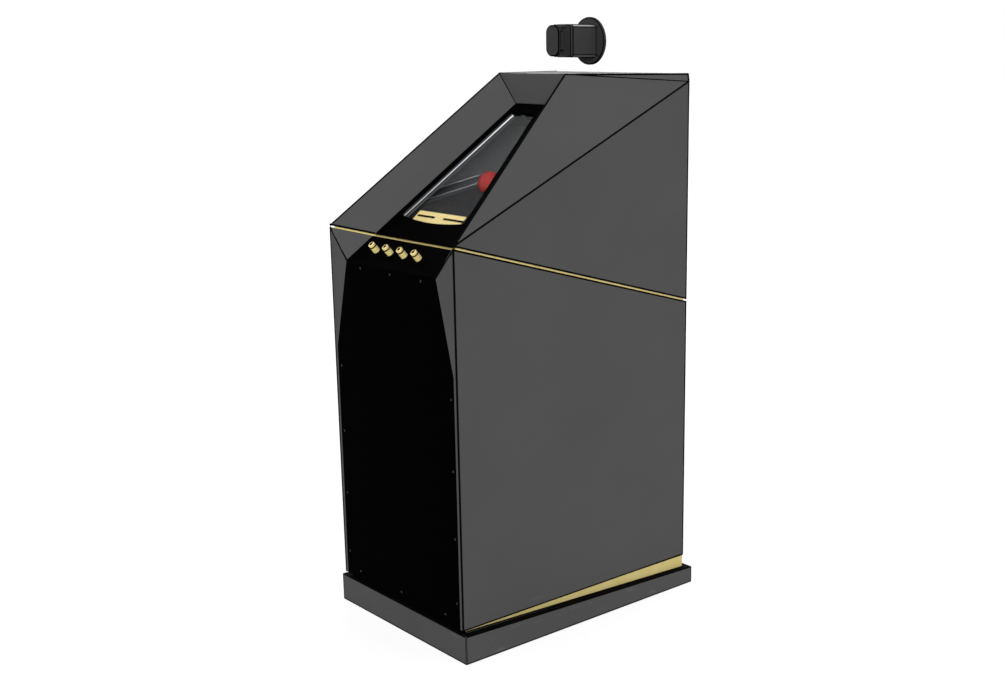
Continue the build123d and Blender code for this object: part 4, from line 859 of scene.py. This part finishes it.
for name, x, body in (("hinge_screws_fixed", FIXED_LEAF_X, "cabinet"),
                      ("hinge_screws_moving", MOVING_LEAF_X, "service_door")):
    leaf_screws = bmesh.new()
    for hinge_z in HINGES_Z:
        for step in (-LEAF_SCREW_STEP, 0, LEAF_SCREW_STEP):
            spot = Matrix.Translation((x, LEAF_SCREW_Y, hinge_z + step)) @ facing_back
            socket_screw(leaf_screws, spot, *LEAF_SCREW)
    piece(name, leaf_screws, zinc_steel, body)

back_screws = bmesh.new()
for centre in SPEAKERS_X:
    for turn in range(4):
        reach = Vector((GRILLE_SCREW_REACH, 0, 0))
        reach.rotate(Matrix.Rotation(radians(45 + 90 * turn), 3, "Y"))
        middle = Vector((centre, GRILLE_SCREW_Y, SPEAKERS_Z))
        socket_screw(back_screws, Matrix.Translation(middle + reach) @ facing_back, *GRILLE_SCREW)
for x in INLET_SCREWS_X:
    spot = Matrix.Translation((x, INLET_SCREW_Y, INLET_Z)) @ facing_back
    socket_screw(back_screws, spot, *INLET_SCREW)
piece("back_screws", back_screws, black_screw_steel, "cabinet")

# ---- Sensor window ----
# A smoked acrylic plate on the front of the head. It is dark and polished, with a faint film
# of dust.
SMOKE_DARK = "1b1a1c"
SMOKE_DUSTY = "232225"
smoked = new_material("smoked_acrylic")
place = add(smoked, "ShaderNodeTexCoord", {})
film = add(smoked, "ShaderNodeTexNoise", {"Scale": 50.0, "Detail": 2.0},
           [("Vector", place.outputs["Object"])])
tone = add(smoked, "ShaderNodeMix",
           {"data_type": "RGBA", 6: linear(SMOKE_DARK), 7: linear(SMOKE_DUSTY)},
           [(0, film.outputs["Fac"])])
polish = add(smoked, "ShaderNodeMapRange", {"To Min": 0.08, "To Max": 0.2},
             [("Value", film.outputs["Fac"])])
shader = add(smoked, "ShaderNodeBsdfPrincipled", {"IOR": 1.49, "Specular IOR Level": 0.25},
             [("Base Color", tone.outputs[2]), ("Roughness", polish.outputs["Result"])])
add(smoked, "ShaderNodeOutputMaterial", {}, [("Surface", shader.outputs["BSDF"])])
finish_as(smoked, "sensor_window")

# ---- Wood battens and shelf, circuit board and rubber feet ----
# Planed softwood inside the cabinet, a green glass-epoxy board, and black rubber feet.
INNER_TONES = {            # light and dark tones, roughness, stretch of the figure and nodes
    "planed_softwood": (
        "c4a275", "a98458", 0.7, (2.0, 2.0, 30.0), ("front_battens", "shelf_board")),
    "green_glass_epoxy": ("1f6b43", "185838", 0.35, (20.0, 20.0, 20.0), ("controller_board",)),
    "black_rubber": ("1c1c1c", "262626", 0.85, (40.0, 40.0, 40.0), ("levelling_feet",)),
}
for name, (light, dark, roughness, stretch, members) in INNER_TONES.items():
    inner = new_material(name)
    place = add(inner, "ShaderNodeTexCoord", {})
    spread = add(inner, "ShaderNodeMapping", {"Scale": stretch},
                 [("Vector", place.outputs["Object"])])
    figure = add(inner, "ShaderNodeTexNoise", {"Scale": 2.0, "Detail": 5.0},
                 [("Vector", spread.outputs["Vector"])])
    tone = add(inner, "ShaderNodeMix", {"data_type": "RGBA", 6: linear(light), 7: linear(dark)},
               [(0, figure.outputs["Fac"])])
    shader = add(inner, "ShaderNodeBsdfPrincipled", {"Roughness": roughness, "IOR": 1.5},
                 [("Base Color", tone.outputs[2])])
    add(inner, "ShaderNodeOutputMaterial", {}, [("Surface", shader.outputs["BSDF"])])
    finish_as(inner, *members)

# ---- Floor, world and lamps ----
# A plain white studio. The floor keeps the soft shadow, and the lamps are broad and plain.
FLOOR_GREY = "e6e6e6"
STUDIO_WHITE = "ffffff"
FLOOR_LIFT = 0.62          # added where the camera sees the floor, so it shows as white
FLOOR_SIZE = 30
WORLD_LIGHT = 0.42         # what the world gives the object, while it shows as full white
LAMPS = (("key", (0.745, -0.59, 0.305), 1.95), ("fill", (-0.66, 0.73, 0.16), 0.7))
LAMP_SPREAD = radians(35)
studio_floor = new_material("white_studio_floor")
path = add(studio_floor, "ShaderNodeLightPath", {})
matt = add(studio_floor, "ShaderNodeBsdfDiffuse", {"Color": linear(FLOOR_GREY)})
lift = add(studio_floor, "ShaderNodeEmission",
           {"Color": linear(STUDIO_WHITE), "Strength": FLOOR_LIFT})
both = add(studio_floor, "ShaderNodeAddShader", {},
           [(0, matt.outputs["BSDF"]), (1, lift.outputs["Emission"])])
seen = add(studio_floor, "ShaderNodeMixShader", {},
           [(0, path.outputs["Is Camera Ray"]), (1, matt.outputs["BSDF"]),
            (2, both.outputs["Shader"])])
add(studio_floor, "ShaderNodeOutputMaterial", {}, [("Surface", seen.outputs["Shader"])])
floor_shape = bmesh.new()
bmesh.ops.create_grid(floor_shape, x_segments=1, y_segments=1, size=FLOOR_SIZE)
floor_mesh = bpy.data.meshes.new("floor")
floor_shape.to_mesh(floor_mesh)
floor_shape.free()
floor_mesh.materials.append(studio_floor)
floor = bpy.data.objects.new("floor", floor_mesh)
bpy.context.collection.objects.link(floor)

world = bpy.data.worlds.new("studio")
world.use_nodes = True
world.node_tree.nodes.clear()
path = add(world, "ShaderNodeLightPath", {})
shown = add(world, "ShaderNodeMath", {"operation": "MAXIMUM"},
            [(0, path.outputs["Is Camera Ray"]), (1, path.outputs["Is Glossy Ray"])])
shown = add(world, "ShaderNodeMath", {"operation": "MAXIMUM"},
            [(0, shown.outputs["Value"]), (1, path.outputs["Is Transmission Ray"])])
level = add(world, "ShaderNodeMapRange", {"To Min": WORLD_LIGHT, "To Max": 1.0},
            [("Value", shown.outputs["Value"])])
sky = add(world, "ShaderNodeBackground", {"Color": linear(STUDIO_WHITE)},
          [("Strength", level.outputs["Result"])])
add(world, "ShaderNodeOutputWorld", {}, [("Surface", sky.outputs["Background"])])
bpy.context.scene.world = world

for name, towards, strength in LAMPS:
    lamp = bpy.data.lights.new(name, "SUN")
    lamp.energy = strength
    lamp.angle = LAMP_SPREAD
    lamp_object = bpy.data.objects.new(name, lamp)
    lamp_object.rotation_euler = Vector(towards).to_track_quat("Z", "Y").to_euler()
    bpy.context.collection.objects.link(lamp_object)

# ---- Camera ----
# Stands in front and to the right, a little above the hood, looking slightly down.
camera_data = bpy.data.cameras.new("camera")
camera_data.sensor_width = 36
camera_data.lens = 48.107
camera_data.shift_x = -0.10396
camera_data.shift_y = 0.02291
camera = bpy.data.objects.new("camera", camera_data)
camera.location = (2.93223, -2.33630, 1.56633)
camera.rotation_euler = (radians(90 - 13.3793), 0, radians(47.4814))
bpy.context.collection.objects.link(camera)
bpy.context.scene.camera = camera
bpy.context.scene.view_settings.view_transform = "Standard"
